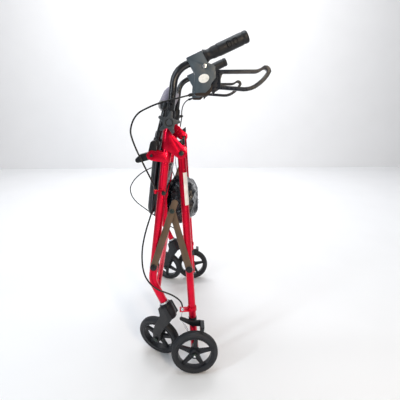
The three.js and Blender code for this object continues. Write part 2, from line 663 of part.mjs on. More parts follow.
// slab in the leg's grid, between two heights along the leg and two depths in front of it
function legSlab(low, high, back, front, halfWidth) {
  const corners = [onLeg(low, back), onLeg(high, back), onLeg(high, front), onLeg(low, front)];
  return plate(outline(corners.map((p) => [p.x, p.z])), -halfWidth, halfWidth);
}

add('seat_board', (() => {
  const low = SEAT_PIVOT + SEAT_LOW + 6;
  const high = SEAT_PIVOT + SEAT_HIGH - 6;
  const board = legSlab(low, high, BOARD_FRONT - BOARD_THICK, BOARD_FRONT, SEAT_HALF_WIDTH - 4);
  const tube = crossRod(SEAT_AXIS, -LEG_Y + LEG_R + 1, LEG_Y - LEG_R - 1, 9, 18);
  const ribs = [-200, -70, 70, 200].map((y) =>
    legSlab(SEAT_PIVOT - 14, SEAT_PIVOT + 14, -SEAT_PIVOT_BACK, BOARD_FRONT - 2, 3).translate(0, y, 0));
  const bores = [-1, 1].map((side) =>
    crossRod(SEAT_AXIS, side * (LEG_Y - 50), side * LEG_Y, BOLT_HOLE, 12));
  return cut(join(board, tube, ...ribs), ...bores);
})(), plastic);

add('seat_cushion', (() => {
  const low = SEAT_PIVOT + SEAT_LOW;
  const high = SEAT_PIVOT + SEAT_HIGH;
  const depth = CUSHION_FRONT - BOARD_FRONT - GAP;
  const corner = 14;
  const half = SEAT_HALF_WIDTH;
  const face = new THREE.Shape();
  face.moveTo(-half + corner, low);
  face.lineTo(half - corner, low);
  face.quadraticCurveTo(half, low, half, low + corner);
  face.lineTo(half, high - corner);
  face.quadraticCurveTo(half, high, half - corner, high);
  face.lineTo(-half + corner, high);
  face.quadraticCurveTo(-half, high, -half, high - corner);
  face.lineTo(-half, low + corner);
  face.quadraticCurveTo(-half, low, -half + corner, low);
  const bevel = 5;
  const pad = new THREE.ExtrudeGeometry(face, {
    depth: depth - 2 * bevel, bevelThickness: bevel, bevelSize: bevel, bevelOffset: -bevel,
    bevelSegments: 2, curveSegments: 3,
  });
  // the face is drawn across the seat and up it; its thickness runs forward
  const up = v3(Math.sin(rad(LEG_LEAN)), 0, Math.cos(rad(LEG_LEAN)));
  const forward = v3(-Math.cos(rad(LEG_LEAN)), 0, Math.sin(rad(LEG_LEAN)));
  const basis = new THREE.Matrix4().makeBasis(v3(0, -1, 0), up, forward);
  const origin = onLeg(0, BOARD_FRONT + GAP + bevel);
  return pad.applyMatrix4(basis.setPosition(at(origin, 0)));
})(), vinyl);

// slumped bag behind the seat: full at the left end, lower towards the right end
add('seat_bag', (() => {
  const half = 222;
  const bottom = 450;
  const slump = 0.5;
  const section = [[-86, 470], [-66, 450], [-38, 460], [-9, 472], [3, 482], [12, 502], [14, 522], [12, 565],
    [9, 598], [-16, 627], [-46, 640], [-64, 634], [-74, 600], [-84, 540]];
  const middle = { x: -36, z: 545 };
  // stations across the seat, each [y, share of the full section]
  const stations = [[-half, 0.78], [-half + 14, 1], [0, 1], [half - 14, 1], [half, 0.78]];
  return loft(stations.map(([y, share]) => {
    const height = 1 - (slump * (y + half)) / (2 * half);
    return section.map(([x, z]) => {
      const rise = middle.z + (z - middle.z) * share - bottom;
      return v3(middle.x + (x - middle.x) * share, y, bottom + rise * height);
    });
  }));
})(), vinyl);

// ---------------------------------------------------------------- backrest

const PAD_END = 258;
const PAD_Z = 866;
const PAD_X = -74;                 // pad's ends
const PAD_BOW = 23;                // how far its middle stands forward of its ends
const PAD_LEAN = 25;
const BOW_RADIUS = 1090;
const BACK_FOOT = { x: -113, z: 720 };         // lower end of the backrest tube, inside its socket

function bowCorners(reach) {
  const endX = PAD_X + ((reach - BACKREST_Y) * 2 * PAD_BOW) / BACKREST_Y;
  return [v3(endX, -reach, PAD_Z), v3(PAD_X - 2 * PAD_BOW, 0, PAD_Z), v3(endX, reach, PAD_Z)];
}

function backrestTubePath() {
  const feet = [-1, 1].map((side) => at(BACK_FOOT, side * BACKREST_Y));
  return new BentPath([feet[0], ...bowCorners(BACKREST_Y), feet[1]], [26, BOW_RADIUS, 26], 5);
}

add('backrest_tube', sweep(disc(BACKREST_R), backrestTubePath(), 7), black);

// a padded band: one leaning section carried along the bow
add('backrest_pad', (() => {
  const half = 38;
  const thick = 13;
  const lean = rad(PAD_LEAN);
  const section = [[-half + 9, -thick], [half - 9, -thick], [half - 2, -8], [half, 0], [half - 2, 8],
    [half - 9, thick], [-half + 9, thick], [-half + 2, 8], [-half, 0], [-half + 2, -8]];
  const bow = new BentPath(bowCorners(PAD_END), BOW_RADIUS, 6);
  const rings = bow.stations.map(({ point }) => section.map(([up, back]) => v3(
    point.x + up * Math.sin(lean) - back * Math.cos(lean),
    point.y,
    point.z + up * Math.cos(lean) + back * Math.sin(lean))));
  return cut(loft(rings), sweep(disc(BACKREST_R + GAP), backrestTubePath(), 7));
})(), fabric);

// pivot block between the bracket's cheeks, with a heel in front and the tube's socket inboard
function backrestEnd(side) {
  const p = BACKREST_PIVOT;
  const y = side * LEG_Y;
  const half = LEG_R - 0.2;
  const crown = { x: p.x + 6, z: p.z + 32 };
  const block = plate(barShape([[p, 12], [crown, 10]]), y - half, y + half);
  const heelShape = barShape([[p, 11], [{ x: p.x - 30, z: p.z - 6 }, 9], [{ x: p.x - 40, z: p.z - 14 }, 8]]);
  const heel = plate(heelShape, y - half, y + half);
  const rise = at({ x: PAD_X, z: PAD_Z }, 0).sub(at(BACK_FOOT, 0)).normalize();
  const foot = at(BACK_FOOT, side * BACKREST_Y);
  const along = (distance) => foot.clone().addScaledVector(rise, distance);
  const socket = rod(along(-5), along(32), BACKREST_R + 4, 14);
  const web = plate(barShape([[crown, 10], [{ x: foot.x + 5, z: foot.z + 20 }, 9]]), y, side * BACKREST_Y);
  const stud = crossRod(p, y - 22, y + 22, BOLT_R, 12);
  const bore = rod(along(-GAP), along(60), BACKREST_R + GAP, 14);
  return join(cut(join(block, heel, socket, web), bore), stud);
}

for (const [side, word] of [[-1, 'left'], [1, 'right']]) {
  add(`backrest_end_${word}`, backrestEnd(side), plastic);
}

// ---------------------------------------------------------------- brake cables

const CABLE_R = 2.5;

function cable(points, steps) {
  const curve = new THREE.CatmullRomCurve3(points.map((p) => v3(...p)), false, 'centripetal');
  return sweep(disc(CABLE_R), curve, 4, steps);
}

// each cable runs from its housing to the guide on the front leg, then to the stop on the rear leg
const CABLES = {
  left: {
    upper: [[-8.5, -284, 875.8], [-24, -289, 872], [-44, -292.5, 867], [-75, -293.5, 859.5],
      [-105, -295, 850], [-131, -296, 839], [-152, -297, 827.5], [-166, -297, 812],
      [-175, -297, 792], [-178, -297, 772], [-173, -297, 750], [-163, -297, 722],
      [-148, -297, 688], [-134, -297, 657], [-120, -296.5, 626], [-114, -296, 612],
      [-113, -296, 606.4]],
    lower: [[-113, -296, 593.6], [-114, -296.2, 583], [-121, -297, 555], [-130, -298, 524],
      [-142, -299, 488], [-151, -300, 455], [-157, -300, 424], [-159.5, -300, 390],
      [-158, -300, 358], [-151, -300, 329], [-135, -299, 302], [-112, -298, 282],
      [-90, -297, 272], [-70, -296, 262], [-52, -293, 247], [-41, -291, 231],
      [-38, -290, 217.5]],
  },
  right: {
    upper: [[-8.5, 284, 875.8], [-13, 284.6, 874.4], [-26, 288.5, 865], [-37, 292, 849],
      [-43, 295, 825], [-44, 296.5, 798], [-49, 297, 768], [-57, 297, 738],
      [-69, 297, 706], [-83, 297, 673], [-98, 297, 642], [-109, 296.5, 622],
      [-112.7, 296, 612], [-113, 296, 606.4]],
    lower: [[-113, 296, 593.6], [-113.5, 296, 588], [-121, 295.5, 583], [-136, 294, 581],
      [-165, 290, 577], [-200, 286, 565], [-235, 284, 544], [-266, 283, 514],
      [-284, 284, 480], [-280, 286, 442], [-258, 289, 408], [-224, 293, 378],
      [-188, 297, 348], [-150, 300, 315], [-115, 300, 290], [-88, 298, 275],
      [-64, 295, 259], [-45, 291.5, 237], [-38.6, 290, 224], [-38, 290, 217.5]],
  },
};
for (const [word, route] of Object.entries(CABLES)) {
  add(`cable_upper_${word}`, cable(route.upper, 24), black);
  add(`cable_lower_${word}`, cable(route.lower, 30), black);
}

export default object;
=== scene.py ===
"""Looks of the folded rollator walker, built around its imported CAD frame. Metres, +Z up, front towards -X."""

import json
import math

import bmesh
import bpy
import numpy as np
from mathutils import Matrix, Vector, noise


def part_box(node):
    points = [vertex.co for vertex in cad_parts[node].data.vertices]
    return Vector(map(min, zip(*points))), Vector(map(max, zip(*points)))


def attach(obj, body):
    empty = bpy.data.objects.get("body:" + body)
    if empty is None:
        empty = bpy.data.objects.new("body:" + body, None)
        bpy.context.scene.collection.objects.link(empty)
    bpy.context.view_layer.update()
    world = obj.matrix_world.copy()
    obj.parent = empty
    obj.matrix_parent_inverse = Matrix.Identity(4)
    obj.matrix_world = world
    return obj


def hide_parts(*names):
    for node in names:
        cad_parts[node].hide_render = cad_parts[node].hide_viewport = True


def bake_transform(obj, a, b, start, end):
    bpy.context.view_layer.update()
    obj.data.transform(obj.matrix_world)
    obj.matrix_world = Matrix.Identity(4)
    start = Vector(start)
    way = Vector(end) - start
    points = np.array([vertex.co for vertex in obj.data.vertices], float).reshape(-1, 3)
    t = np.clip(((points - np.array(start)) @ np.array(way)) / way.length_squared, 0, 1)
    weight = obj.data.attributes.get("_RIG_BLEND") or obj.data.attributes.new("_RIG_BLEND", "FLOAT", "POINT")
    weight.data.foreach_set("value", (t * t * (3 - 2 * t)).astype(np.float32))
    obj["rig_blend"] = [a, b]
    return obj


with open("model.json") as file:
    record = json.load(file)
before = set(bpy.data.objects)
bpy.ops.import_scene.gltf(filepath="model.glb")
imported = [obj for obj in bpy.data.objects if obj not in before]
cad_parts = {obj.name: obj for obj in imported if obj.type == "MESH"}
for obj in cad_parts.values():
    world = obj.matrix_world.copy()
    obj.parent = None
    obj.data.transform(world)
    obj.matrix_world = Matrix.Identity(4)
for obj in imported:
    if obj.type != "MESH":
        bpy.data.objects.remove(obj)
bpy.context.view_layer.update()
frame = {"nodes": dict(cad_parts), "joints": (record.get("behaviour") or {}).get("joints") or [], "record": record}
NODES = frame["nodes"]
JOINTS = {j["name"]: j for j in frame["joints"]}
BODY_OF = {n: b for b, members in frame["record"]["behaviour"]["bodies"].items() for n in members}
SLOT_OF = {s["node"]: s["material_slot"] for s in frame["record"]["subparts"]}
SIDES = {"left": -1, "right": 1}
MM = 0.001


def joint_at(name):
    return Vector(JOINTS[name]["pos_m"])


def joint_axis(name):
    return Vector(JOINTS[name]["axis"]).normalized()


LEG_UP = joint_axis("handle_height_left")
LEG_FRONT = Vector((-LEG_UP.z, 0, LEG_UP.x))
STEM_UP = joint_axis("caster_swivel_left")


# ------------------------------------------------------------------ materials

class Shader:
    """A Principled material whose colour, roughness and bump come from object-space patterns."""

    def __init__(self, name, base, rough, metal=0.0, coat=0.0, sheen=0.0, specular=0.5):
        self.mat = bpy.data.materials.new(name)
        self.mat.use_nodes = True
        self.tree = self.mat.node_tree
        self.bsdf = self.tree.nodes["Principled BSDF"]
        self.place = self.node("ShaderNodeTexCoord").outputs["Object"]
        self.base = base
        self.rough = rough
        self.bsdf.inputs["Metallic"].default_value = metal
        self.bsdf.inputs["Coat Weight"].default_value = coat
        self.bsdf.inputs["Coat Roughness"].default_value = 0.06
        self.bsdf.inputs["Sheen Weight"].default_value = sheen
        self.bsdf.inputs["Specular IOR Level"].default_value = specular
        self.height = None

    def node(self, kind, **values):
        n = self.tree.nodes.new(kind)
        for key, value in values.items():
            if key in n.inputs:
                n.inputs[key].default_value = value
            else:
                setattr(n, key, value)
        return n

    def link(self, a, b):
        self.tree.links.new(a, b)

    def noise(self, scale, detail=4.0, rough=0.55, distortion=0.0, stretch=None):
        n = self.node("ShaderNodeTexNoise", Scale=scale, Detail=detail, Roughness=rough, Distortion=distortion)
        self.link(self.scaled(stretch), n.inputs["Vector"])
        return n.outputs["Fac"]

    def scaled(self, stretch, turn=(0, 0, 0)):
        if stretch is None:
            return self.place
        m = self.node("ShaderNodeMapping")
        m.inputs["Scale"].default_value = stretch
        m.inputs["Rotation"].default_value = turn
        self.link(self.place, m.inputs["Vector"])
        return m.outputs["Vector"]

    def cells(self, scale, feature="F1", smooth=None):
        n = self.node("ShaderNodeTexVoronoi", feature=feature, Scale=scale)
        if smooth is not None and "Smoothness" in n.inputs:
            n.inputs["Smoothness"].default_value = smooth
        self.link(self.place, n.inputs["Vector"])
        return n.outputs["Distance"]

    def ramp(self, value, stops):
        r = self.node("ShaderNodeValToRGB")
        while len(r.color_ramp.elements) < len(stops):
            r.color_ramp.elements.new(0.5)
        for element, (position, colour) in zip(r.color_ramp.elements, stops):
            element.position = position
            element.color = (*colour, 1.0) if len(colour) == 3 else colour
        self.link(value, r.inputs["Fac"])
        return r.outputs["Color"]

    def range(self, value, low, high, start=0.3, end=0.7):
        m = self.node("ShaderNodeMapRange")
        for key, x in (("From Min", start), ("From Max", end), ("To Min", low), ("To Max", high)):
            m.inputs[key].default_value = x
        self.link(value, m.inputs["Value"])
        return m.outputs["Result"]

    def math(self, operation, a, b):
        m = self.node("ShaderNodeMath", operation=operation)
        for i, x in enumerate((a, b)):
            if isinstance(x, (int, float)):
                m.inputs[i].default_value = x
            else:
                self.link(x, m.inputs[i])
        return m.outputs[0]

    def tint(self, pattern, spread):
        dark = tuple(c * (1 - spread) for c in self.base)
        light = tuple(min(1.0, c * (1 + spread) + 0.01 * spread) for c in self.base)
        self.link(self.ramp(pattern, [(0.3, dark), (0.5, self.base), (0.72, light)]), self.bsdf.inputs["Base Color"])

    def polish(self, pattern, spread):
        low, high = max(0.03, self.rough - spread), min(1.0, self.rough + spread)
        self.link(self.range(pattern, low, high), self.bsdf.inputs["Roughness"])

    def bump(self, pattern, strength, distance):
        b = self.node("ShaderNodeBump", Strength=strength, Distance=distance)
        self.link(pattern, b.inputs["Height"])
        if self.height is not None:
            self.link(self.height, b.inputs["Normal"])
        self.height = b.outputs["Normal"]
        self.link(self.height, self.bsdf.inputs["Normal"])
        return self


def lacquer(name, base, rough, metal, flake, coat):
    s = Shader(name, base, rough, metal, coat=coat)
    s.tint(s.noise(22, 5), 0.16)
    s.polish(s.noise(60, 3), 0.05)
    s.bump(s.noise(2600, 2), flake, 0.00005)
    s.bump(s.noise(300, 2), 0.03, 0.0001)
    return s.mat


def moulded(name, base, rough, grain=1500, strength=0.22, coat=0.0, specular=0.5):
    s = Shader(name, base, rough, coat=coat, specular=specular)
    s.tint(s.noise(35, 5), 0.22)
    s.polish(s.noise(140, 4), 0.09)
    s.bump(s.noise(grain, 3, 0.6), strength, 0.00025)
    s.bump(s.noise(60, 2), 0.08, 0.0006)
    return s.mat


def metal(name, base, rough, brushed=False):
    s = Shader(name, base, rough, metal=1.0)
    s.tint(s.noise(90, 4), 0.12)
    stretch = (400, 40, 400) if brushed else None
    s.polish(s.noise(1.0 if brushed else 220, 4, stretch=stretch), 0.1)
    s.bump(s.noise(900, 3), 0.06, 0.0001)
    return s.mat


def rubber(name, base, rough):
    s = Shader(name, base, rough, specular=0.35)
    s.tint(s.noise(28, 6), 0.3)
    s.polish(s.noise(90, 4), 0.08)
    s.bump(s.noise(1900, 3), 0.3, 0.0003)
    s.bump(s.noise(160, 4), 0.15, 0.0005)
    return s.mat


def vinyl(name, base, rough, crumple=0.0):
    s = Shader(name, base, rough, coat=0.2, specular=0.5)
    s.tint(s.noise(30, 5), 0.35)
    s.polish(s.noise(55, 5), 0.12)
    s.bump(s.cells(1300, "SMOOTH_F1", 0.4), 0.25, 0.0003)
    if crumple:
        s.bump(s.noise(42, 4, 0.6, 1.6), crumple, 0.004)
        s.bump(s.noise(120, 3, 0.55, 0.8), crumple * 0.5, 0.0015)
    return s.mat


def woven(name, base, rough, pitch=0.0014):
    s = Shader(name, base, rough, sheen=0.35, specular=0.25)
    turns = 2 * math.pi / pitch
    split = s.node("ShaderNodeSeparateXYZ")
    s.link(s.place, split.inputs["Vector"])
    across = s.math("SINE", s.math("MULTIPLY", split.outputs["Y"], turns), 0)
    along = s.math("SINE", s.math("MULTIPLY", split.outputs["Z"], turns), 0)
    weave = s.math("MULTIPLY", across, along)
    speckle = s.noise(700, 3, 0.7)
    mixed = s.math("ADD", s.math("MULTIPLY", weave, 0.13), speckle)
    s.tint(mixed, 0.4)
    s.polish(s.noise(80, 3), 0.05)
    s.bump(weave, 0.5, 0.0005)
    s.bump(s.noise(60, 4), 0.25, 0.0018)
    return s.mat


RED = lacquer("candy_red", (0.7, 0.0, 0.03), 0.3, 0.85, 0.012, coat=0.15)
BLACK_PAINT = lacquer("gloss_black", (0.005, 0.006, 0.01), 0.16, 0.0, 0.02, coat=0.5)
LINK_PAINT = lacquer("brown_black", (0.12, 0.078, 0.05), 0.45, 0.35, 0.05, coat=0.15)
SLATE = moulded("slate_plastic", (0.05, 0.075, 0.1), 0.4, specular=0.45)
LEVER = moulded("lever_plastic", (0.012, 0.016, 0.026), 0.3, specular=0.4)
KNOB = moulded("knob_plastic", (0.045, 0.055, 0.066), 0.36, specular=0.45)
BLACK_PLASTIC = moulded("black_plastic", (0.008, 0.009, 0.012), 0.36, specular=0.35)
BROWN_PLASTIC = moulded("brown_plastic", (0.022, 0.014, 0.012), 0.5, specular=0.3)
SOFT_GRIP = moulded("soft_grip", (0.007, 0.008, 0.011), 0.42, grain=2400, strength=0.35, specular=0.4)
WHEEL_PLASTIC = moulded("wheel_plastic", (0.01, 0.012, 0.017), 0.42, specular=0.35)
TYRE = rubber("dark_tyre", (0.017, 0.019, 0.024), 0.5)
BRIGHT = metal("zinc_steel", (0.62, 0.64, 0.68), 0.26, brushed=True)
DARK_STEEL = metal("black_oxide", (0.05, 0.065, 0.06), 0.36)
GOLD = metal("gold_clip", (0.62, 0.4, 0.14), 0.3)
SEAT_VINYL = vinyl("seat_vinyl", (0.008, 0.01, 0.014), 0.42)
PIPING = vinyl("seat_piping", (0.07, 0.075, 0.09), 0.45)
BAG_VINYL = vinyl("bag_vinyl", (0.006, 0.008, 0.013), 0.25, crumple=0.35)
BACK_FABRIC = woven("backrest_fabric", (0.27, 0.24, 0.31), 0.8)
JACKET = moulded("cable_jacket", (0.005, 0.005, 0.006), 0.35, coat=0.15, specular=0.3)
BADGE = moulded("white_badge", (0.82, 0.85, 0.84), 0.3, coat=0.5)
LABEL = moulded("label_paper", (0.84, 0.82, 0.8), 0.45, strength=0.1)

MATERIAL_OF_SLOT = {
    "red_paint": RED, "black_paint": BLACK_PAINT, "link_paint": LINK_PAINT, "grey_plastic": SLATE,
    "black_plastic": BLACK_PLASTIC, "grip_rubber": SOFT_GRIP, "wheel_plastic": WHEEL_PLASTIC, "tyre": TYRE,
    "bright_steel": BRIGHT, "dark_steel": DARK_STEEL, "seat_vinyl": SEAT_VINYL, "bag_vinyl": BAG_VINYL,
    "backrest_fabric": BACK_FABRIC, "cable_jacket": JACKET,
}


# ------------------------------------------------------------------ mesh helpers

def frame_of(direction):
    """Rotation that takes +Z to direction."""
    return Vector(direction).to_track_quat("Z", "Y").to_matrix().to_4x4()


def smooth(mesh, angle=38):
    """Smooth shading, with edges sharper than angle kept crisp."""
    bm = bmesh.new()
    bm.from_mesh(mesh)
    limit = math.radians(angle)
    for face in bm.faces:
        face.smooth = True
    for edge in bm.edges:
        edge.smooth = edge.calc_face_angle(0.0) < limit
    bm.to_mesh(mesh)
    bm.free()


def make(name, verts, faces, angle=38):
    mesh = bpy.data.meshes.new(name)
    mesh.from_pydata([tuple(v) for v in verts], [], faces)
    mesh.validate()
    bm = bmesh.new()
    bm.from_mesh(mesh)
    bmesh.ops.recalc_face_normals(bm, faces=bm.faces)
    bm.to_mesh(mesh)
    bm.free()
    smooth(mesh, angle)
    obj = bpy.data.objects.new(name, mesh)
    bpy.context.scene.collection.objects.link(obj)
    return obj


def apply_modifiers(obj):
    graph = bpy.context.evaluated_depsgraph_get()
    mesh = bpy.data.meshes.new_from_object(obj.evaluated_get(graph))
    obj.modifiers.clear()
    obj.data = mesh
    return obj


def bevelled(obj, width, segments=3, angle=32):
    mod = obj.modifiers.new("bevel", "BEVEL")
    mod.width = width
    mod.segments = segments
    mod.limit_method = "ANGLE"
    mod.angle_limit = math.radians(angle)
    mod.use_clamp_overlap = True
    apply_modifiers(obj)
    smooth(obj.data, angle + 3)
    return obj


def settle(obj, mat, body, slot, *replaced):
    """Gives a piece its material and body, and hides the CAD nodes that it stands for; slot is not used."""
    obj.data.materials.clear()
    obj.data.materials.append(mat)
    if "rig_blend" not in obj:
        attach(obj, body)
    if replaced:
        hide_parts(*replaced)
    return obj


def lathe(name, profile, centre, axis, count=64, closed=False):
    """Turned piece; profile is (radius, distance along axis) pairs in metres, from end to end."""
    place = Matrix.Translation(centre) @ frame_of(axis)
    verts = []
    rings = []
    for r, h in profile:
        if r < 1e-7:
            rings.append([len(verts)])
            verts.append(place @ Vector((0, 0, h)))
            continue
        rings.append(list(range(len(verts), len(verts) + count)))
        for i in range(count):
            a = 2 * math.pi * i / count
            verts.append(place @ Vector((r * math.cos(a), r * math.sin(a), h)))
    faces = []
    pairs = list(zip(rings, rings[1:])) + ([(rings[-1], rings[0])] if closed else [])
    for low, high in pairs:
        for i in range(count):
            j = (i + 1) % count
            face = [low[i % len(low)], low[j % len(low)], high[j % len(high)], high[i % len(high)]]
            face = list(dict.fromkeys(face))
            if len(face) > 2:
                faces.append(face)
    return make(name, verts, faces)


def spline(points, steps):
    """Centripetal Catmull-Rom through points."""
    pts = [Vector(p) for p in points]
    pts = [pts[0] * 2 - pts[1], *pts, pts[-1] * 2 - pts[-2]]
    out = []
    for p0, p1, p2, p3 in zip(pts, pts[1:], pts[2:], pts[3:]):
        t0 = 0.0
        t1 = t0 + (p1 - p0).length ** 0.5
        t2 = t1 + (p2 - p1).length ** 0.5
        t3 = t2 + (p3 - p2).length ** 0.5
        for k in range(steps):
            t = t1 + (t2 - t1) * k / steps
            a1 = p0 * ((t1 - t) / (t1 - t0)) + p1 * ((t - t0) / (t1 - t0))
            a2 = p1 * ((t2 - t) / (t2 - t1)) + p2 * ((t - t1) / (t2 - t1))
            a3 = p2 * ((t3 - t) / (t3 - t2)) + p3 * ((t - t2) / (t3 - t2))
            b1 = a1 * ((t2 - t) / (t2 - t0)) + a2 * ((t - t0) / (t2 - t0))
            b2 = a2 * ((t3 - t) / (t3 - t1)) + a3 * ((t - t1) / (t3 - t1))
            out.append(b1 * ((t2 - t) / (t2 - t1)) + b2 * ((t - t1) / (t2 - t1)))
    out.append(pts[-2])
    return out


def tube(name, path, radius, sides=16, ends=True):
    """Round tube along a list of points."""
    verts, faces = [], []
    normal = None
    for i, p in enumerate(path):
        ahead = path[min(i + 1, len(path) - 1)] - path[max(i - 1, 0)]
        ahead.normalize()
        if normal is None:
            normal = ahead.orthogonal().normalized()
        normal = (normal - ahead * normal.dot(ahead)).normalized()
        other = ahead.cross(normal)
        r = radius(i / (len(path) - 1)) if callable(radius) else radius
        for k in range(sides):
            a = 2 * math.pi * k / sides
            verts.append(p + normal * (r * math.cos(a)) + other * (r * math.sin(a)))
    for i in range(len(path) - 1):
        for k in range(sides):
            a, b = i * sides + k, i * sides + (k + 1) % sides
            faces.append([a, b, b + sides, a + sides])
    if ends:
        faces.append(list(range(sides)))
        faces.append(list(range(len(verts) - sides, len(verts))))
    return make(name, verts, faces)


def dress(node, width=0.6 * MM, segments=2, mat=None, angle=32):
    """A CAD node's own shape with its edges rounded, standing for it."""
    mesh = NODES[node].data.copy()
    bm = bmesh.new()
    bm.from_mesh(mesh)
    bmesh.ops.remove_doubles(bm, verts=bm.verts, dist=1e-6)
    bmesh.ops.dissolve_limit(bm, angle_limit=math.radians(0.6), verts=bm.verts, edges=bm.edges)
    bm.to_mesh(mesh)
    bm.free()
    obj = bpy.data.objects.new(node + ".look", mesh)
    bpy.context.scene.collection.objects.link(obj)
    bevelled(obj, width, segments, angle)
    slot = SLOT_OF[node]
    return settle(obj, mat or MATERIAL_OF_SLOT[slot], BODY_OF[node], slot, node)


# ------------------------------------------------------------------ soft pieces

def plump(obj, pressure, cap, voxel=0.005, stiff=18.0):
    """Blows a closed shape up as stuffed cloth, no point further than cap from where it began."""
    mesh = obj.data
    remesh = obj.modifiers.new("remesh", "REMESH")
    remesh.mode = "VOXEL"
    remesh.voxel_size = voxel
    apply_modifiers(obj)
    start = np.array([v.co for v in obj.data.vertices], float)
    cloth = obj.modifiers.new("cloth", "CLOTH")
    cloth.settings.use_pressure = True
    cloth.settings.uniform_pressure_force = pressure
    cloth.settings.tension_stiffness = stiff
    cloth.settings.compression_stiffness = stiff
    cloth.settings.bending_stiffness = 0.4
    cloth.settings.effector_weights.gravity = 0.0
    cloth.collision_settings.use_self_collision = False
    cloth.point_cache.frame_start = 1
    cloth.point_cache.frame_end = 20
    for f in range(1, 21):
        bpy.context.scene.frame_set(f)
    apply_modifiers(obj)
    bpy.context.scene.frame_set(1)
    end = np.array([v.co for v in obj.data.vertices], float)
    move = end - start
    length = np.linalg.norm(move, axis=1, keepdims=True)
    move *= np.minimum(1.0, cap / np.maximum(length, 1e-9))
    obj.data.vertices.foreach_set("co", (start + move).astype(np.float32).ravel())
    subdivide(obj, 1)
    smooth(obj.data, 70)
    return obj


def subdivide(obj, levels):
    mod = obj.modifiers.new("subdivide", "SUBSURF")
    mod.levels = levels
    mod.render_levels = levels
    return apply_modifiers(obj)


def sculpt(obj, shift):
    """Moves every point by shift(place, normal)."""
    mesh = obj.data
    co = [v.co.copy() for v in mesh.vertices]
    normals = [v.normal.copy() for v in mesh.vertices]
    for v, c, n in zip(mesh.vertices, co, normals):
        v.co = c + shift(c, n)
    mesh.update()
    return obj


def pillow(name, half_w, half_h, thick, place, corner=5.0, crown=0.34, count=56):
    """Crowned pad: width along local X, height along local Y, thickness along local Z from 0."""
    verts, faces = [], []
    rows = count

    def spread(t):
        return math.copysign(abs(t) ** 0.8, t)

    for layer in (0, 1):
        for i in range(rows + 1):
            for j in range(rows + 1):
                x, y = spread(2 * i / rows - 1), spread(2 * j / rows - 1)
                rim = max(0.0, (1 - abs(x) ** corner) * (1 - abs(y) ** corner))
                pull = 0.012 * (1 - rim ** 0.5)
                px = x * half_w * (1 - pull * (1 - y * y))
                py = y * half_h * (1 - pull * (1 - x * x))
                rise = rim ** crown
                z = thick * (0.42 + 0.58 * rise) if layer else thick * 0.42 * (1 - rise)
                verts.append(place @ Vector((px, py, z)))
    size = (rows + 1) ** 2
    for layer in (0, 1):
        for i in range(rows):
            for j in range(rows):
                a = layer * size + i * (rows + 1) + j
                faces.append([a, a + 1, a + rows + 2, a + rows + 1])
    obj = make(name, verts, faces)
    bm = bmesh.new()
    bm.from_mesh(obj.data)
    bmesh.ops.remove_doubles(bm, verts=bm.verts, dist=1e-5)
    bmesh.ops.recalc_face_normals(bm, faces=bm.faces)
    bm.to_mesh(obj.data)
    bm.free()
    return obj


def bead(name, loop, radius, mat, body, slot, sides=8):
    """Piping or stitching line along a closed loop of points."""
    piece = tube(name, [*loop, loop[0].copy()], radius, sides, ends=False)
    return settle(piece, mat, body, slot)


# ------------------------------------------------------------------ camera, floor and light

def add_camera():
    data = bpy.data.cameras.new("camera")
    data.sensor_width = 36.0
    data.lens = 31.453
    data.shift_y = -0.0313
    data.dof.use_dof = False
    data.clip_start = 0.01
    data.clip_end = 60.0
    camera = bpy.data.objects.new("camera", data)
    bpy.context.scene.collection.objects.link(camera)
    pan, tilt = math.radians(1.906), math.radians(12.96)
    forward = Vector((math.sin(pan) * math.cos(tilt), math.cos(pan) * math.cos(tilt), -math.sin(tilt)))
    right = Vector((math.cos(pan), -math.sin(pan), 0))
    up = right.cross(forward)
    turn = Matrix((right, up, -forward)).transposed().to_4x4()
    camera.matrix_world = Matrix.Translation((0.01928, -1.3042, 0.84267)) @ turn
    bpy.context.scene.camera = camera


def add_area(name, place, target, size, power, tint=(1, 1, 1)):
    data = bpy.data.lights.new(name, "AREA")
    data.energy = power
    data.color = tint
    data.shape = "RECTANGLE"
    data.size, data.size_y = size
    light = bpy.data.objects.new(name, data)
    bpy.context.scene.collection.objects.link(light)
    aim = (Vector(target) - Vector(place)).normalized()
    light.matrix_world = Matrix.Translation(place) @ (-aim).to_track_quat("Z", "Y").to_matrix().to_4x4()


def add_studio():
    bpy.context.scene.view_settings.view_transform = "Standard"
    world = bpy.data.worlds.new("studio")
    world.use_nodes = True
    world.node_tree.nodes["Background"].inputs["Color"].default_value = (0.96, 0.98, 1, 1)
    world.node_tree.nodes["Background"].inputs["Strength"].default_value = 0.3
    bpy.context.scene.world = world
    floor = make("floor", [(-9, -9, 0), (9, -9, 0), (9, 9, 0), (-9, 9, 0)], [[0, 1, 2, 3]])
    s = Shader("floor_paper", (0.86, 0.86, 0.87), 0.9)
    s.tint(s.noise(3, 2), 0.01)
    s.polish(s.noise(8, 2), 0.03)
    floor.data.materials.append(s.mat)
    wall = make("backdrop", [(-9, 3.6, 0), (9, 3.6, 0), (9, 3.6, 7), (-9, 3.6, 7)], [[0, 1, 2, 3]])
    wall.data.materials.append(s.mat)
    add_area("warm_strip", (1.0, -2.4, 1.4), (0, 0, 0.5), (0.14, 1.9), 30, (1.0, 0.8, 0.58))
    add_area("cool_strip", (-1.7, -1.5, 1.7), (0, 0, 0.5), (0.2, 1.6), 16, (0.78, 0.9, 1.0))
    add_area("sky", (-0.2, -0.3, 3.0), (0, 0, 0.5), (1.2, 1.2), 30, (0.86, 0.94, 1.0))
    add_area("wall_wash", (0, 1.6, 3.4), (0, 3.6, 1.2), (4.0, 0.6), 78, (0.97, 0.98, 1.0))
    add_area("floor_wash", (0, 1.4, 2.6), (0, 1.7, 0), (3.0, 0.8), 22, (0.97, 0.98, 1.0))


# ------------------------------------------------------------------ frame pieces

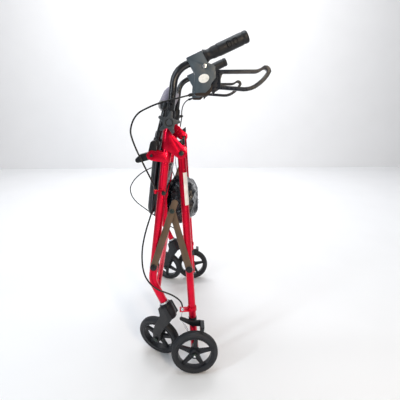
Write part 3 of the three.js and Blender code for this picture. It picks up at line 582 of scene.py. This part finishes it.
def hard_pieces():
    widths = {
        "front_leg": 0.5, "rear_leg": 0.5, "handle_tube": 0.5, "hinge_bracket": 0.9, "backrest_bracket": 0.8,
        "clamp_sleeve": 0.9, "star_knob": 1.8, "brake_housing": 2.6, "lever_pin": 0.7, "brake_lever": 3.0,
        "cable_stop": 0.6, "brake_arm": 1.1, "rear_axle": 0.7, "front_axle": 0.7, "hinge_bolt": 0.8,
        "seat_bolt": 0.7, "caster_fork": 4.5, "front_link": 0.8, "rear_link": 0.8, "backrest_end": 1.8,
    }
    own = {"brake_lever": LEVER, "star_knob": KNOB, "front_axle": DARK_STEEL, "rear_axle": DARK_STEEL,
           "lever_pin": BRIGHT}
    for word in SIDES:
        for kind, width in widths.items():
            dress(f"{kind}_{word}", width * MM, 3 if width > 1 else 2, own.get(kind))
    dress("front_crossbar", 0.4 * MM)
    dress("backrest_tube", 0.4 * MM)
    dress("seat_board", 1.2 * MM, mat=SEAT_VINYL)


def end_plugs():
    for word, side in SIDES.items():
        hinge = joint_at(f"fold_{word}")
        axle = joint_at(f"rear_wheel_spin_{word}")
        foot = Vector((axle.x, hinge.y, axle.z))
        up = (hinge - foot).normalized()
        top = hinge + up * 24 * MM
        r = 11.9 * MM
        plug = lathe(f"rear_leg_plug_{word}", [(0, -5 * MM), (10.2 * MM, -5 * MM), (10.2 * MM, 0.2 * MM), (r, 0.2 * MM),
                                               (r, 14 * MM), (r * 0.92, 16 * MM), (0, 16 * MM)], top, up, 40)
        sculpt(plug, lambda p, n: Vector((0, 0, 0)) if (p - top).dot(up) < 5 * MM
               else up * ((p - top).x * 0.66 - 3 * MM))
        settle(plug, BLACK_PLASTIC, f"rear_leg_{word}", "black_plastic")
        base = foot - up * 18 * MM
        cap = lathe(f"rear_leg_foot_{word}", [(0, 4 * MM), (10.2 * MM, 4 * MM), (10.2 * MM, -0.2 * MM), (r, -0.2 * MM),
                                              (r * 0.94, -3 * MM), (0, -3.4 * MM)], base, up, 40)
        settle(cap, BLACK_PLASTIC, f"rear_leg_{word}", "black_plastic")
        stem = joint_at(f"caster_swivel_{word}")
        ring = lathe(f"stem_ring_{word}", [(12.6 * MM, 1 * MM), (14.4 * MM, 1 * MM), (14.8 * MM, 2.5 * MM),
                                           (14.8 * MM, 6.5 * MM), (14.4 * MM, 8 * MM), (12.6 * MM, 8 * MM)],
                     stem, STEM_UP, 48, closed=True)
        settle(ring, BRIGHT, "front_frame", "bright_steel")
        collar = lathe(f"stem_collar_{word}", [(12.6 * MM, -2.8 * MM), (17.5 * MM, -2.8 * MM), (18 * MM, -1.5 * MM),
                                               (16.5 * MM, 0.8 * MM), (12.6 * MM, 0.8 * MM)],
                       stem, STEM_UP, 48, closed=True)
        settle(collar, BLACK_PLASTIC, f"caster_{word}", "black_plastic")


def grips():
    for word, side in SIDES.items():
        lo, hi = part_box(f"grip_{word}")
        along = Vector((math.cos(math.radians(24.5)), 0, math.sin(math.radians(24.5))))
        mid = (lo + hi) / 2
        length = 131 * MM
        start = mid - along * (length / 2)
        ribs = []
        for k in range(5):
            h = (24 + 2.6 * k) * MM
            ribs += [(16.4 * MM, h), (17.4 * MM, h + 0.9 * MM), (16.4 * MM, h + 1.8 * MM)]
        profile = [(11.3 * MM, 0), (18.6 * MM, 0), (19.5 * MM, 0.8 * MM), (19.5 * MM, 3 * MM), (18.4 * MM, 4.2 * MM),
                   (15.0 * MM, 10 * MM), (14.8 * MM, 18 * MM), *ribs, (16.2 * MM, 38 * MM), (17.6 * MM, 40 * MM),
                   *((17.9 * MM, h * MM) for h in range(44, 110, 2)), (17.8 * MM, 113 * MM), (16.6 * MM, 114 * MM), (16.6 * MM, 116.4 * MM),
                   (17.8 * MM, 117.4 * MM), (17.8 * MM, 126 * MM), (16.6 * MM, 129.6 * MM), (13 * MM, 131 * MM),
                   (4.2 * MM, 131 * MM), (3.6 * MM, 129.4 * MM), (0, 129.4 * MM)]
        piece = lathe(f"grip_{word}.look", profile, start, along, 72)
        up = Vector((-along.z, 0, along.x))
        pads = [start + along * (72 * MM), start + along * (91 * MM)]

        def swell(p, n):
            """Raised oval in a sunk ring, twice, on the outer side."""
            if (p.y - start.y) * side < 0:
                return Vector()
            for q in pads:
                d = p - q
                reach = math.hypot(d.dot(along) / (6.5 * MM), d.dot(up) / (9.5 * MM))
                if reach < 0.72:
                    return n * (0.5 * MM)
                if reach < 1.05:
                    return n * (-1.7 * MM)
            return Vector()

        subdivide(piece, 1)
        sculpt(piece, swell)
        smooth(piece.data, 50)
        settle(piece, SOFT_GRIP, f"handle_{word}", "grip_rubber", f"grip_{word}")


def badges():
    """Blank oval badge and a ring round the lever pin on each brake housing, and a groove and button on each star knob.
    """
    for word, side in SIDES.items():
        lo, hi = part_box(f"brake_housing_{word}")
        face = lo.y if side < 0 else hi.y
        lever = joint_at(f"brake_squeeze_{word}")
        centre = Vector((lever.x - 1.3 * MM, face, lever.z - 32.3 * MM))
        turn = Matrix.Rotation(math.radians(-20), 4, "Y")
        for kind, size, lift, mat, slot in (("rim", 1.0, 1.2, SLATE, "grey_plastic"),
                                            ("plate", 0.84, 1.9, BADGE, "bright_steel")):
            verts, faces, rings = [], [], []
            count = 56
            for scale, depth in ((size, -0.6), (size, lift * 0.6), (size * 0.95, lift), (size * 0.4, lift + 0.5)):
                rings.append(len(verts))
                for i in range(count):
                    a = 2 * math.pi * i / count
                    p = Vector((18 * MM * scale * math.cos(a), side * depth * MM, 14 * MM * scale * math.sin(a)))
                    verts.append(centre + turn @ p)
            for a, b in zip(rings, rings[1:]):
                for i in range(count):
                    j = (i + 1) % count
                    faces.append([a + i, a + j, b + j, b + i])
            faces.append([rings[-1] + i for i in range(count)])
            faces.append([rings[0] + i for i in range(count)])
            settle(make(f"badge_{kind}_{word}", verts, faces), mat, f"handle_{word}", slot)
        ring = lathe(f"pin_ring_{word}", [(3.6 * MM, -1 * MM), (6.6 * MM, -1 * MM), (6.6 * MM, 0.9 * MM),
                                          (5.6 * MM, 1.6 * MM), (3.6 * MM, 1.0 * MM)],
                     Vector((lever.x, face, lever.z)), (0, side, 0), 36, closed=True)
        settle(ring, DARK_STEEL, f"handle_{word}", "dark_steel")
        knob_lo, knob_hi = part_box(f"star_knob_{word}")
        hub = (knob_lo + knob_hi) / 2
        hub.y = knob_lo.y if side < 0 else knob_hi.y
        for kind, profile, mat in (
                ("groove", [(8.6, -2), (10.6, -2), (10.6, 1.2), (9.8, 1.8), (8.6, 1.4)], BLACK_PLASTIC),
                ("button", [(0.01, -2), (8.2, -2), (8.2, 1.6), (7.2, 2.6), (0.01, 3.0)], KNOB)):
            face_piece = lathe(f"knob_{kind}_{word}", [(r * MM, h * MM) for r, h in profile], hub,
                               (0, side, 0), 40, closed=True)
            settle(face_piece, mat, f"knob_{word}", "black_plastic")


def housing_feet():
    """Dark guard round the foot of each brake housing."""
    rise = math.radians(24.5)
    along = Vector((math.cos(rise), 0, math.sin(rise)))
    up = Vector((-along.z, 0, along.x))
    edge = [(22, -80), (24, -88), (52, -101), (69, -95.5), (79, -79), (64, -87), (52, -91), (36, -84)]
    for word, side in SIDES.items():
        lever = joint_at(f"brake_squeeze_{word}")
        corner = lever - along * 77.3 * MM + up * 25.6 * MM
        verts = []
        for y in (-18.2, 18.2):
            for u, v in edge:
                verts.append(corner + along * u * MM + up * v * MM + Vector((0, y * MM, 0)))
        n = len(edge)
        faces = [list(range(n)), list(range(n, 2 * n))]
        faces += [[i, (i + 1) % n, n + (i + 1) % n, n + i] for i in range(n)]
        foot = bevelled(make(f"housing_foot_{word}", verts, faces), 1.6 * MM)
        settle(foot, BROWN_PLASTIC, f"handle_{word}", "black_plastic")


def wheels():
    """Tyres with grooved treads, rim lips and hub caps on the five-spoke rims, and a bolt at each rear axle end."""
    for prefix in ("front", "rear"):
        for word, side in SIDES.items():
            joint = f"{prefix}_wheel_spin_{word}"
            body = f"{prefix}_wheel_{word}"
            centre, axis = joint_at(joint), joint_axis(joint)
            half = [(59.3, 10.2), (61, 11.3), (64.5, 12.3), (68.5, 12.2), (71.6, 10.6), (73.2, 8.6), (74.0, 7.0),
                    (73.4, 6.6), (73.4, 5.9), (74.6, 5.4), (74.9, 2.6), (74.3, 2.2), (74.3, 1.5), (75.0, 1.0)]
            profile = [(r * MM, -w * MM) for r, w in half] + [(r * MM, w * MM) for r, w in reversed(half)]
            tyre = lathe(f"{prefix}_tyre_{word}.look", profile, centre, axis, 112, closed=True)
            settle(tyre, TYRE, body, "tyre", f"{prefix}_tyre_{word}")
            dress(f"{prefix}_rim_{word}", 1.4 * MM, 3, angle=36)
            for s in (-1, 1):
                rim = lathe(f"{prefix}_rim_lip_{word}_{'in' if s < 0 else 'out'}",
                            [(53.4 * MM, 10.4 * MM), (54.6 * MM, 11.6 * MM), (57.6 * MM, 11.9 * MM), (59.2 * MM, 11.2 * MM),
                             (59.2 * MM, 10.0 * MM), (53.4 * MM, 10.0 * MM)], centre, axis * s, 96, closed=True)
                settle(rim, WHEEL_PLASTIC, body, "wheel_plastic")
                boss = lathe(f"{prefix}_hub_ring_{word}_{'in' if s < 0 else 'out'}",
                             [(9.8 * MM, 14.2 * MM), (10.2 * MM, 15.2 * MM), (12.8 * MM, 15.2 * MM), (14.4 * MM, 13.6 * MM),
                              (18 * MM, 6 * MM), (18 * MM, 4.2 * MM), (9.8 * MM, 4.2 * MM)], centre, axis * s, 48, closed=True)
                settle(boss, WHEEL_PLASTIC, body, "wheel_plastic")
            if prefix == "rear":
                lo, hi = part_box(f"rear_axle_{word}")
                end = Vector((centre.x, lo.y if side < 0 else hi.y, centre.z))
                bolt = lathe(f"axle_bolt_{word}", [(0, -2 * MM), (3.8 * MM, -2 * MM), (3.8 * MM, 1.2 * MM),
                                                   (2.8 * MM, 2 * MM), (0, 2 * MM)], end, (0, side, 0), 24)
                settle(bolt, BRIGHT, f"rear_leg_{word}", "bright_steel")


def brake_details():
    for word, side in SIDES.items():
        stop_lo, stop_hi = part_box(f"cable_stop_{word}")
        fx = stop_lo.x + 8.8 * MM
        fy = joint_at(f"fold_{word}").y + side * 14 * MM
        ferrule = lathe(f"cable_ferrule_{word}", [(2.7 * MM, 13 * MM), (3.6 * MM, 12.6 * MM), (4.5 * MM, 11 * MM),
                                                  (4.5 * MM, 5 * MM), (5.6 * MM, 4.6 * MM), (5.6 * MM, 0), (2.7 * MM, 0)],
                        Vector((fx, fy, stop_hi.z - 12.8 * MM)), (0, 0, 1), 32, closed=True)
        settle(ferrule, BRIGHT, f"rear_leg_{word}", "bright_steel")
        arm_lo, arm_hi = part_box(f"brake_arm_{word}")
        eye = Vector((arm_lo.x + 5 * MM, fy, arm_hi.z - 5 * MM))
        rest_of_leg, arm = f"rear_leg_{word}", f"brake_arm_{word}"
        wire_top = Vector((fx, fy, stop_hi.z - 12 * MM))
        wire = tube(f"brake_wire_{word}", [wire_top.lerp(eye, i / 8) for i in range(9)], 0.9 * MM, 10)
        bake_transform(wire, rest_of_leg, arm, start=wire_top, end=eye)
        settle(wire, BRIGHT, None, "bright_steel")
        foot = joint_at(f"fold_{word}")
        pivot = joint_at(f"brake_press_{word}")
        axle = joint_at(f"rear_wheel_spin_{word}")
        leg_up = (Vector((foot.x, 0, foot.z)) - Vector((axle.x, 0, axle.z))).normalized()
        band = lathe(f"brake_clamp_{word}", [(12.1 * MM, -11 * MM), (13.0 * MM, -11 * MM), (13.3 * MM, -9.5 * MM),
                                             (13.3 * MM, 14 * MM), (13.0 * MM, 15 * MM), (12.1 * MM, 15 * MM)],
                     Vector((pivot.x, foot.y, pivot.z)), leg_up, 40, closed=True)
        settle(band, BLACK_PLASTIC, f"rear_leg_{word}", "black_plastic")
        anchor = Vector((joint_at(f"brake_press_{word}").x - 14 * MM, fy, joint_at(f"brake_press_{word}").z - 36 * MM))
        turns, length = 9, (anchor - eye).length
        place = Matrix.Translation(eye) @ frame_of(anchor - eye)
        coil = []
        for i in range(turns * 14 + 1):
            t = i / (turns * 14)
            a = 2 * math.pi * turns * t
            coil.append(place @ Vector((3.0 * MM * math.cos(a), 3.0 * MM * math.sin(a), length * (0.12 + 0.76 * t))))
        spring = tube(f"brake_spring_{word}", coil, 0.75 * MM, 8)
        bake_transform(spring, arm, rest_of_leg, start=eye, end=anchor)
        settle(spring, BRIGHT, None, "bright_steel")
        for k, (a, b, body) in enumerate(((0.0, 0.13, arm), (0.87, 1.0, rest_of_leg))):
            hook = tube(f"spring_hook_{word}_{k}", [eye.lerp(anchor, a), eye.lerp(anchor, b)], 0.6 * MM, 8)
            settle(hook, BRIGHT, body, "bright_steel")
        peg = lathe(f"spring_peg_{word}", [(0, 0), (2.2 * MM, 0), (2.2 * MM, 6 * MM), (3.2 * MM, 6.4 * MM),
                                           (3.2 * MM, 8 * MM), (0, 8.4 * MM)],
                    Vector((anchor.x, foot.y + side * 10 * MM, anchor.z)), (0, side, 0), 24)
        settle(peg, DARK_STEEL, f"rear_leg_{word}", "dark_steel")


def cables():
    """Brake cables along the CAD's routes, bending where a joint moves their far end."""
    origin = Vector((34.37, -3.73, 0)) * MM
    routes = {
        "left": {
            "upper": [(-8.5, -284, 875.8), (-24, -289, 872), (-44, -292.5, 867), (-75, -293.5, 859.5), (-105, -295, 850),
                      (-131, -296, 839), (-152, -297, 827.5), (-166, -297, 812), (-175, -297, 792), (-178, -297, 772),
                      (-173, -297, 750), (-163, -297, 722), (-148, -297, 688), (-134, -297, 657), (-120, -296.5, 626),
                      (-114, -296, 612), (-113, -296, 606.4)],
            "lower": [(-113, -296, 593.6), (-114, -296.2, 583), (-121, -297, 555), (-130, -298, 524), (-142, -299, 488),
                      (-151, -300, 455), (-157, -300, 424), (-159.5, -300, 390), (-158, -300, 358), (-151, -300, 329),
                      (-135, -299, 302), (-112, -298, 282), (-90, -297, 272), (-70, -296, 262), (-52, -293, 247),
                      (-41, -291, 231), (-38, -290, 217.5)],
        },
        "right": {
            "upper": [(-8.5, 284, 875.8), (-13, 284.6, 874.4), (-26, 288.5, 865), (-37, 292, 849), (-43, 295, 825),
                      (-44, 296.5, 798), (-49, 297, 768), (-57, 297, 738), (-69, 297, 706), (-83, 297, 673),
                      (-98, 297, 642), (-109, 296.5, 622), (-112.7, 296, 612), (-113, 296, 606.4)],
            "lower": [(-113, 296, 593.6), (-113.5, 296, 588), (-121, 295.5, 583), (-136, 294, 581), (-165, 290, 577),
                      (-200, 286, 565), (-235, 284, 544), (-266, 283, 514), (-284, 284, 480), (-280, 286, 442),
                      (-258, 289, 408), (-224, 293, 378), (-188, 297, 348), (-150, 300, 315), (-115, 300, 290),
                      (-88, 298, 275), (-64, 295, 259), (-45, 291.5, 237), (-38.6, 290, 224), (-38, 290, 217.5)],
        },
    }
    for word, side in SIDES.items():
        for part, ends in (("upper", (f"handle_{word}", "front_frame")), ("lower", ("front_frame", f"rear_leg_{word}"))):
            path = spline([Vector(p) * MM + origin for p in routes[word][part]], 8)
            piece = tube(f"cable_{part}_{word}.look", path, 2.45 * MM, 14)
            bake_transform(piece, *ends, start=path[0], end=path[-1])
            settle(piece, JACKET, None, "cable_jacket", f"cable_{part}_{word}")
        guide = Vector((-113, side * 296, 600)) * MM + origin
        clip = lathe(f"cable_clip_{word}", [(2.6 * MM, -6.4 * MM), (3.1 * MM, -6.4 * MM), (3.5 * MM, -5.6 * MM),
                                            (3.5 * MM, 5.6 * MM), (3.1 * MM, 6.4 * MM), (2.6 * MM, 6.4 * MM)],
                     guide, (0, 0, 1), 32, closed=True)
        settle(clip, GOLD, "front_frame", "bright_steel")
        start = Vector((-8.5, side * 284, 875.8)) * MM + origin
        away = Vector((-20, side * 2, -5.5)).normalized()
        barrel = lathe(f"cable_adjuster_{word}",
                       [(2.7 * MM, -3 * MM), (3.6 * MM, -3 * MM), (4.0 * MM, -1 * MM), (4.0 * MM, 3 * MM), (4.8 * MM, 3.4 * MM),
                        (5.0 * MM, 8 * MM), (4.5 * MM, 9 * MM), (4.5 * MM, 13 * MM), (2.7 * MM, 13 * MM)],
                       start - away * 8 * MM, away, 28, closed=True)
        settle(barrel, BLACK_PLASTIC, f"handle_{word}", "black_plastic")


def link_pins():
    """Bolt heads at the pins of the side links."""
    for word, side in SIDES.items():
        lo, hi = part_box(f"front_link_{word}")
        outer = (lo.y + 2 * MM) if side < 0 else (hi.y - 2 * MM)
        a = joint_at(f"front_link_{word}")
        b = joint_at(f"rear_link_{word}")
        top = Vector((hi.x - 10 * MM, 0, hi.z - 10 * MM))
        mid_up = (top - Vector((a.x, 0, a.z)))
        spot = Vector((a.x, 0, a.z)) + mid_up * (mid_up.length - 27 * MM) / mid_up.length
        spot.y = outer
        head = lathe(f"link_bolt_{word}", [(0, -1 * MM), (7.6 * MM, -1 * MM), (7.6 * MM, 0.8 * MM), (6.6 * MM, 2.2 * MM),
                                           (3.6 * MM, 3.2 * MM), (2.2 * MM, 3.2 * MM), (2.0 * MM, 1.6 * MM),
                                           (0, 1.6 * MM)], spot, (0, side, 0), 36)
        settle(head, DARK_STEEL, f"front_link_{word}", "dark_steel")
        for kind in ("front", "rear"):
            link_lo, link_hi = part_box(f"{kind}_link_{word}")
            pin = joint_at(f"{kind}_link_{word}")
            pin.y = link_lo.y if side < 0 else link_hi.y
            cap = lathe(f"{kind}_link_cap_{word}", [(0, -3 * MM), (10.6 * MM, -3 * MM), (10.6 * MM, 0.6 * MM),
                                                    (9.6 * MM, 1.4 * MM), (5.2 * MM, 1.6 * MM), (4.6 * MM, 3.4 * MM),
                                                    (0, 3.8 * MM)], pin, (0, side, 0), 40)
            settle(cap, BLACK_PLASTIC, f"{kind}_link_{word}", "black_plastic")


def rear_label():
    """Plain paper label, printed with nothing, round the left rear leg."""
    hinge = joint_at("fold_left")
    axle = joint_at("rear_wheel_spin_left")
    foot = Vector((axle.x, hinge.y, axle.z))
    up = (hinge - foot).normalized()
    out = Vector((0, -1, 0))
    side = up.cross(out).normalized()
    verts, faces = [], []
    columns, rows = 14, 12
    for i in range(rows + 1):
        z = 0.480 + 0.1 * i / rows
        for j in range(columns + 1):
            a = math.radians(4 + 92 * j / columns)
            for r in (12.05, 12.3):
                verts.append(foot + up * z + (out * math.cos(a) + side * math.sin(a)) * r * MM)
    step = 2 * (columns + 1)
    for i in range(rows):
        for j in range(columns):
            a = i * step + 2 * j
            faces.append([a, a + 2, a + 2 + step, a + step])
            faces.append([a + 1, a + 3, a + 3 + step, a + 1 + step])
    border = [(0, j) for j in range(columns + 1)] + [(i, columns) for i in range(1, rows + 1)]
    border += [(rows, j) for j in range(columns - 1, -1, -1)] + [(i, 0) for i in range(rows - 1, 0, -1)]
    for (i0, j0), (i1, j1) in zip(border, border[1:] + border[:1]):
        a, b = i0 * step + 2 * j0, i1 * step + 2 * j1
        faces.append([a, b, b + 1, a + 1])
    settle(make("leg_label", verts, faces), LABEL, "rear_leg_left", "red_paint")


# ------------------------------------------------------------------ seat, bag and backrest

def leg_place(origin):
    """Local X across the seat, local Y up the leg, local Z forward."""
    m = Matrix((Vector((0, -1, 0)), LEG_UP, LEG_FRONT)).transposed().to_4x4()
    return Matrix.Translation(origin) @ m


def seat():
    pivot = joint_at("seat_fold")
    lo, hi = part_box("seat_cushion")
    half_w = (hi.y - lo.y) / 2
    half_h = 0.146
    centre = pivot + LEG_UP * 0.044 + LEG_FRONT * (0.006 + 0.0203)
    centre.y = (lo.y + hi.y) / 2
    place = leg_place(centre)
    cushion = pillow("seat_cushion.look", half_w - 2 * MM, half_h - 2 * MM, 21 * MM, place, corner=14, crown=0.3)
    plump(cushion, 4.0, 4 * MM, voxel=0.005)
    back = place.inverted()
    flat = 0.4 * MM

    def rest(p, n):
        q = back @ p
        groove = 0.0
        for line in (-0.075, 0.075):
            groove += 1.6 * MM * math.exp(-((q.x - line) / (2.2 * MM)) ** 2)
        inner = min(half_w - abs(q.x), half_h - abs(q.y))
        groove += 1.5 * MM * math.exp(-((inner - 16 * MM) / (2.0 * MM)) ** 2)
        lift = max(0.0, flat - q.z)
        front = 1.0 if q.z > 8 * MM else 0.0
        return place.to_3x3() @ Vector((0, 0, lift - groove * front))

    sculpt(cushion, rest)
    settle(cushion, SEAT_VINYL, "seat", "seat_vinyl", "seat_cushion")
    loop = []
    for i in range(120):
        a = 2 * math.pi * i / 120
        c, s = math.cos(a), math.sin(a)
        x = math.copysign(abs(c) ** 0.12, c) * (half_w - 1.5 * MM)
        y = math.copysign(abs(s) ** 0.12, s) * (half_h - 1.5 * MM)
        loop.append(place @ Vector((x, y, 9 * MM)))
    bead("seat_piping", loop, 1.8 * MM, PIPING, "seat", "seat_vinyl")


def bag():
    """Slumped bag of thin shiny vinyl, full at the left end and lower towards the right."""
    lo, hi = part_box("seat_bag")
    section = [(-82, 472), (-66, 454), (-38, 464), (-10, 476), (0, 485), (8, 503), (10, 523), (8, 565), (4, 596),
               (-18, 623), (-46, 635), (-62, 629), (-71, 600), (-81, 540)]
    shift = Vector((34.37, 0, 0))
    mid = (lo.y + hi.y) / 2
    half = (hi.y - lo.y) / 2 - 3 * MM
    base = 453 * MM
    ring = spline([(Vector((x, 0, z)) + shift) * MM for x, z in section + section[:1]], 5)[:-1]
    centre = sum(ring, Vector()) / len(ring)
    verts, faces = [], []
    stations = 64
    for i in range(stations + 1):
        t = 2 * i / stations - 1
        taper = 0.55 + 0.45 * max(0.0, 1 - abs(t) ** 9) ** 0.35
        height = 1 - 0.25 * (t + 1)
        for p in ring:
            q = centre + (p - centre) * taper
            wave = noise.noise(Vector((t * 7.0, q.x * 22, q.z * 22)))
            z = base + (q.z - base) * height + 3 * MM * wave
            verts.append(Vector((q.x + 3 * MM * wave, mid + half * t, z)))
    n = len(ring)
    for i in range(stations):
        for j in range(n):
            a, b = i * n + j, i * n + (j + 1) % n
            faces.append([a, b, b + n, a + n])
    faces.append(list(range(n)))
    faces.append(list(range(len(verts) - n, len(verts))))
    piece = make("seat_bag.look", verts, faces)
    plump(piece, 2.0, 5 * MM, voxel=0.006, stiff=8.0)

    def crumple(p, normal):
        """Sharp creases between rounded folds, of the same depth all over the bag."""
        q = Vector((p.x * 22, p.y * 13, p.z * 17))
        warp = noise.noise_vector(q * 0.6) * 1.4
        ridge = 1 - abs(noise.noise(q + warp))
        fine = 1 - abs(noise.noise(q * 2.7 + warp * 2))
        return normal * ((ridge ** 3 - 0.6) * 9 * MM + (fine ** 3 - 0.5) * 3 * MM)

    sculpt(piece, crumple)
    for v in piece.data.vertices:
        v.co.x = min(max(v.co.x, lo.x - 2 * MM), hi.x + 5 * MM)
    smooth(piece.data, 75)
    settle(piece, BAG_VINYL, "seat", "bag_vinyl", "seat_bag")
    bag_straps(lo, hi)


def bag_straps(lo, hi):
    """Two webbing straps from the bag's top up to the seat tube."""
    tube_at = joint_at("seat_fold")
    mid = (lo.y + hi.y) / 2
    for k, (share, drop) in enumerate(((-0.82, 0.006), (0.82, 0.085))):
        y = mid + share * (hi.y - lo.y) / 2
        top = Vector((tube_at.x + 0.022, y, tube_at.z + 0.075 - drop * 0.2))
        path = spline([Vector((lo.x + 0.030, y, hi.z - 0.04 - drop)), Vector((lo.x + 0.026, y, hi.z - 0.012 - drop)),
                       top + Vector((-0.004, 0, -0.012)), top], 6)
        verts, faces = [], []
        for p in path:
            for dx, dy in ((-0.8, -9), (0.8, -9), (0.8, 9), (-0.8, 9)):
                verts.append(p + Vector((dx * MM, dy * MM, 0)))
        for i in range(len(path) - 1):
            for c in range(4):
                a, b = 4 * i + c, 4 * i + (c + 1) % 4
                faces.append([a, b, b + 4, a + 4])
        faces += [[0, 1, 2, 3], [len(verts) - 4 + c for c in range(4)]]
        settle(make(f"bag_strap_{k}", verts, faces, 50), SEAT_VINYL, "seat", "seat_vinyl")


def backrest():
    """Padded band along the bow, with sewn edges and a dark underside."""
    lo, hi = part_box("backrest_pad")
    tube_lo, tube_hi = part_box("backrest_tube")
    mid = (lo.y + hi.y) / 2
    reach = (hi.y - lo.y) / 2
    lean = math.radians(25)
    up = Vector((math.sin(lean), 0, math.cos(lean)))
    front = Vector((-math.cos(lean), 0, math.sin(lean)))
    end_x = 37.4 * MM - 74 * MM
    bow_x = end_x - 33 * MM
    z = 866 * MM
    verts, faces = [], []
    stations, ring = 72, 40

    def spine(t):
        """Centre of the band; t runs from -1 to 1 across."""
        return Vector((end_x + (bow_x - end_x) * (1 - t * t) * 0.72, mid + reach * t, z))

    for i in range(stations + 1):
        t = 2 * i / stations - 1
        end = min(1.0, (1 - abs(t)) * reach / (14 * MM))
        swell = 0.35 + 0.65 * math.sqrt(max(0.0, 1 - (1 - end) ** 2))
        c = spine(t)
        for j in range(ring):
            a = 2 * math.pi * j / ring
            h = math.copysign(abs(math.cos(a)) ** 0.45, math.cos(a)) * 37 * MM
            d = math.copysign(abs(math.sin(a)) ** 0.7, math.sin(a)) * 12.4 * MM * swell
            verts.append(c + up * h * (0.9 + 0.1 * swell) + front * d)
    for i in range(stations):
        for j in range(ring):
            a, b = i * ring + j, i * ring + (j + 1) % ring
            faces.append([a, b, b + ring, a + ring])
    faces.append(list(range(ring)))
    faces.append(list(range(len(verts) - ring, len(verts))))
    piece = make("backrest_pad.look", verts, faces)
    plump(piece, 4.0, 2.5 * MM, voxel=0.004)

    def seams(p, n):
        t = (p.y - mid) / reach
        c = spine(max(-1.0, min(1.0, t)))
        h = (p - c).dot(up)
        groove = 0.0
        for line in (-27, 27):
            groove += 1.5 * MM * math.exp(-((h - line * MM) / (1.5 * MM)) ** 2)
        ripple = 0.5 * MM * noise.noise(Vector((p.y * 45, h * 60, 3.1)))
        return n * (ripple - groove)

    sculpt(piece, seams)
    smooth(piece.data, 70)
    settle(piece, BACK_FABRIC, "backrest", "backrest_fabric", "backrest_pad")
    bm = bmesh.new()
    bm.from_mesh(piece.data)
    kept = []
    for face in bm.faces:
        p = face.calc_center_median()
        h = (p - spine(max(-1.0, min(1.0, (p.y - mid) / reach)))).dot(up)
        if h > -12 * MM:
            kept.append(face)
    bmesh.ops.delete(bm, geom=kept, context="FACES")
    shell = bpy.data.meshes.new("backrest_backing")
    bm.to_mesh(shell)
    bm.free()
    backing = bpy.data.objects.new("backrest_backing", shell)
    bpy.context.scene.collection.objects.link(backing)
    thick = backing.modifiers.new("thick", "SOLIDIFY")
    thick.thickness = 1.4 * MM
    thick.offset = 0.3
    apply_modifiers(backing)
    smooth(backing.data, 60)
    settle(backing, SEAT_VINYL, "backrest", "seat_vinyl")
    for name, h in (("top", 36.5), ("bottom", -36.5)):
        path = [spine(2 * i / 60 - 1) + up * h * MM for i in range(61)]
        edge = tube(f"backrest_piping_{name}", path, 1.6 * MM, 10)
        settle(edge, PIPING, "backrest", "seat_vinyl")


# ------------------------------------------------------------------ build

add_camera()
add_studio()
hard_pieces()
end_plugs()
grips()
badges()
housing_feet()
wheels()
brake_details()
cables()
link_pins()
rear_label()
seat()
bag()
backrest()
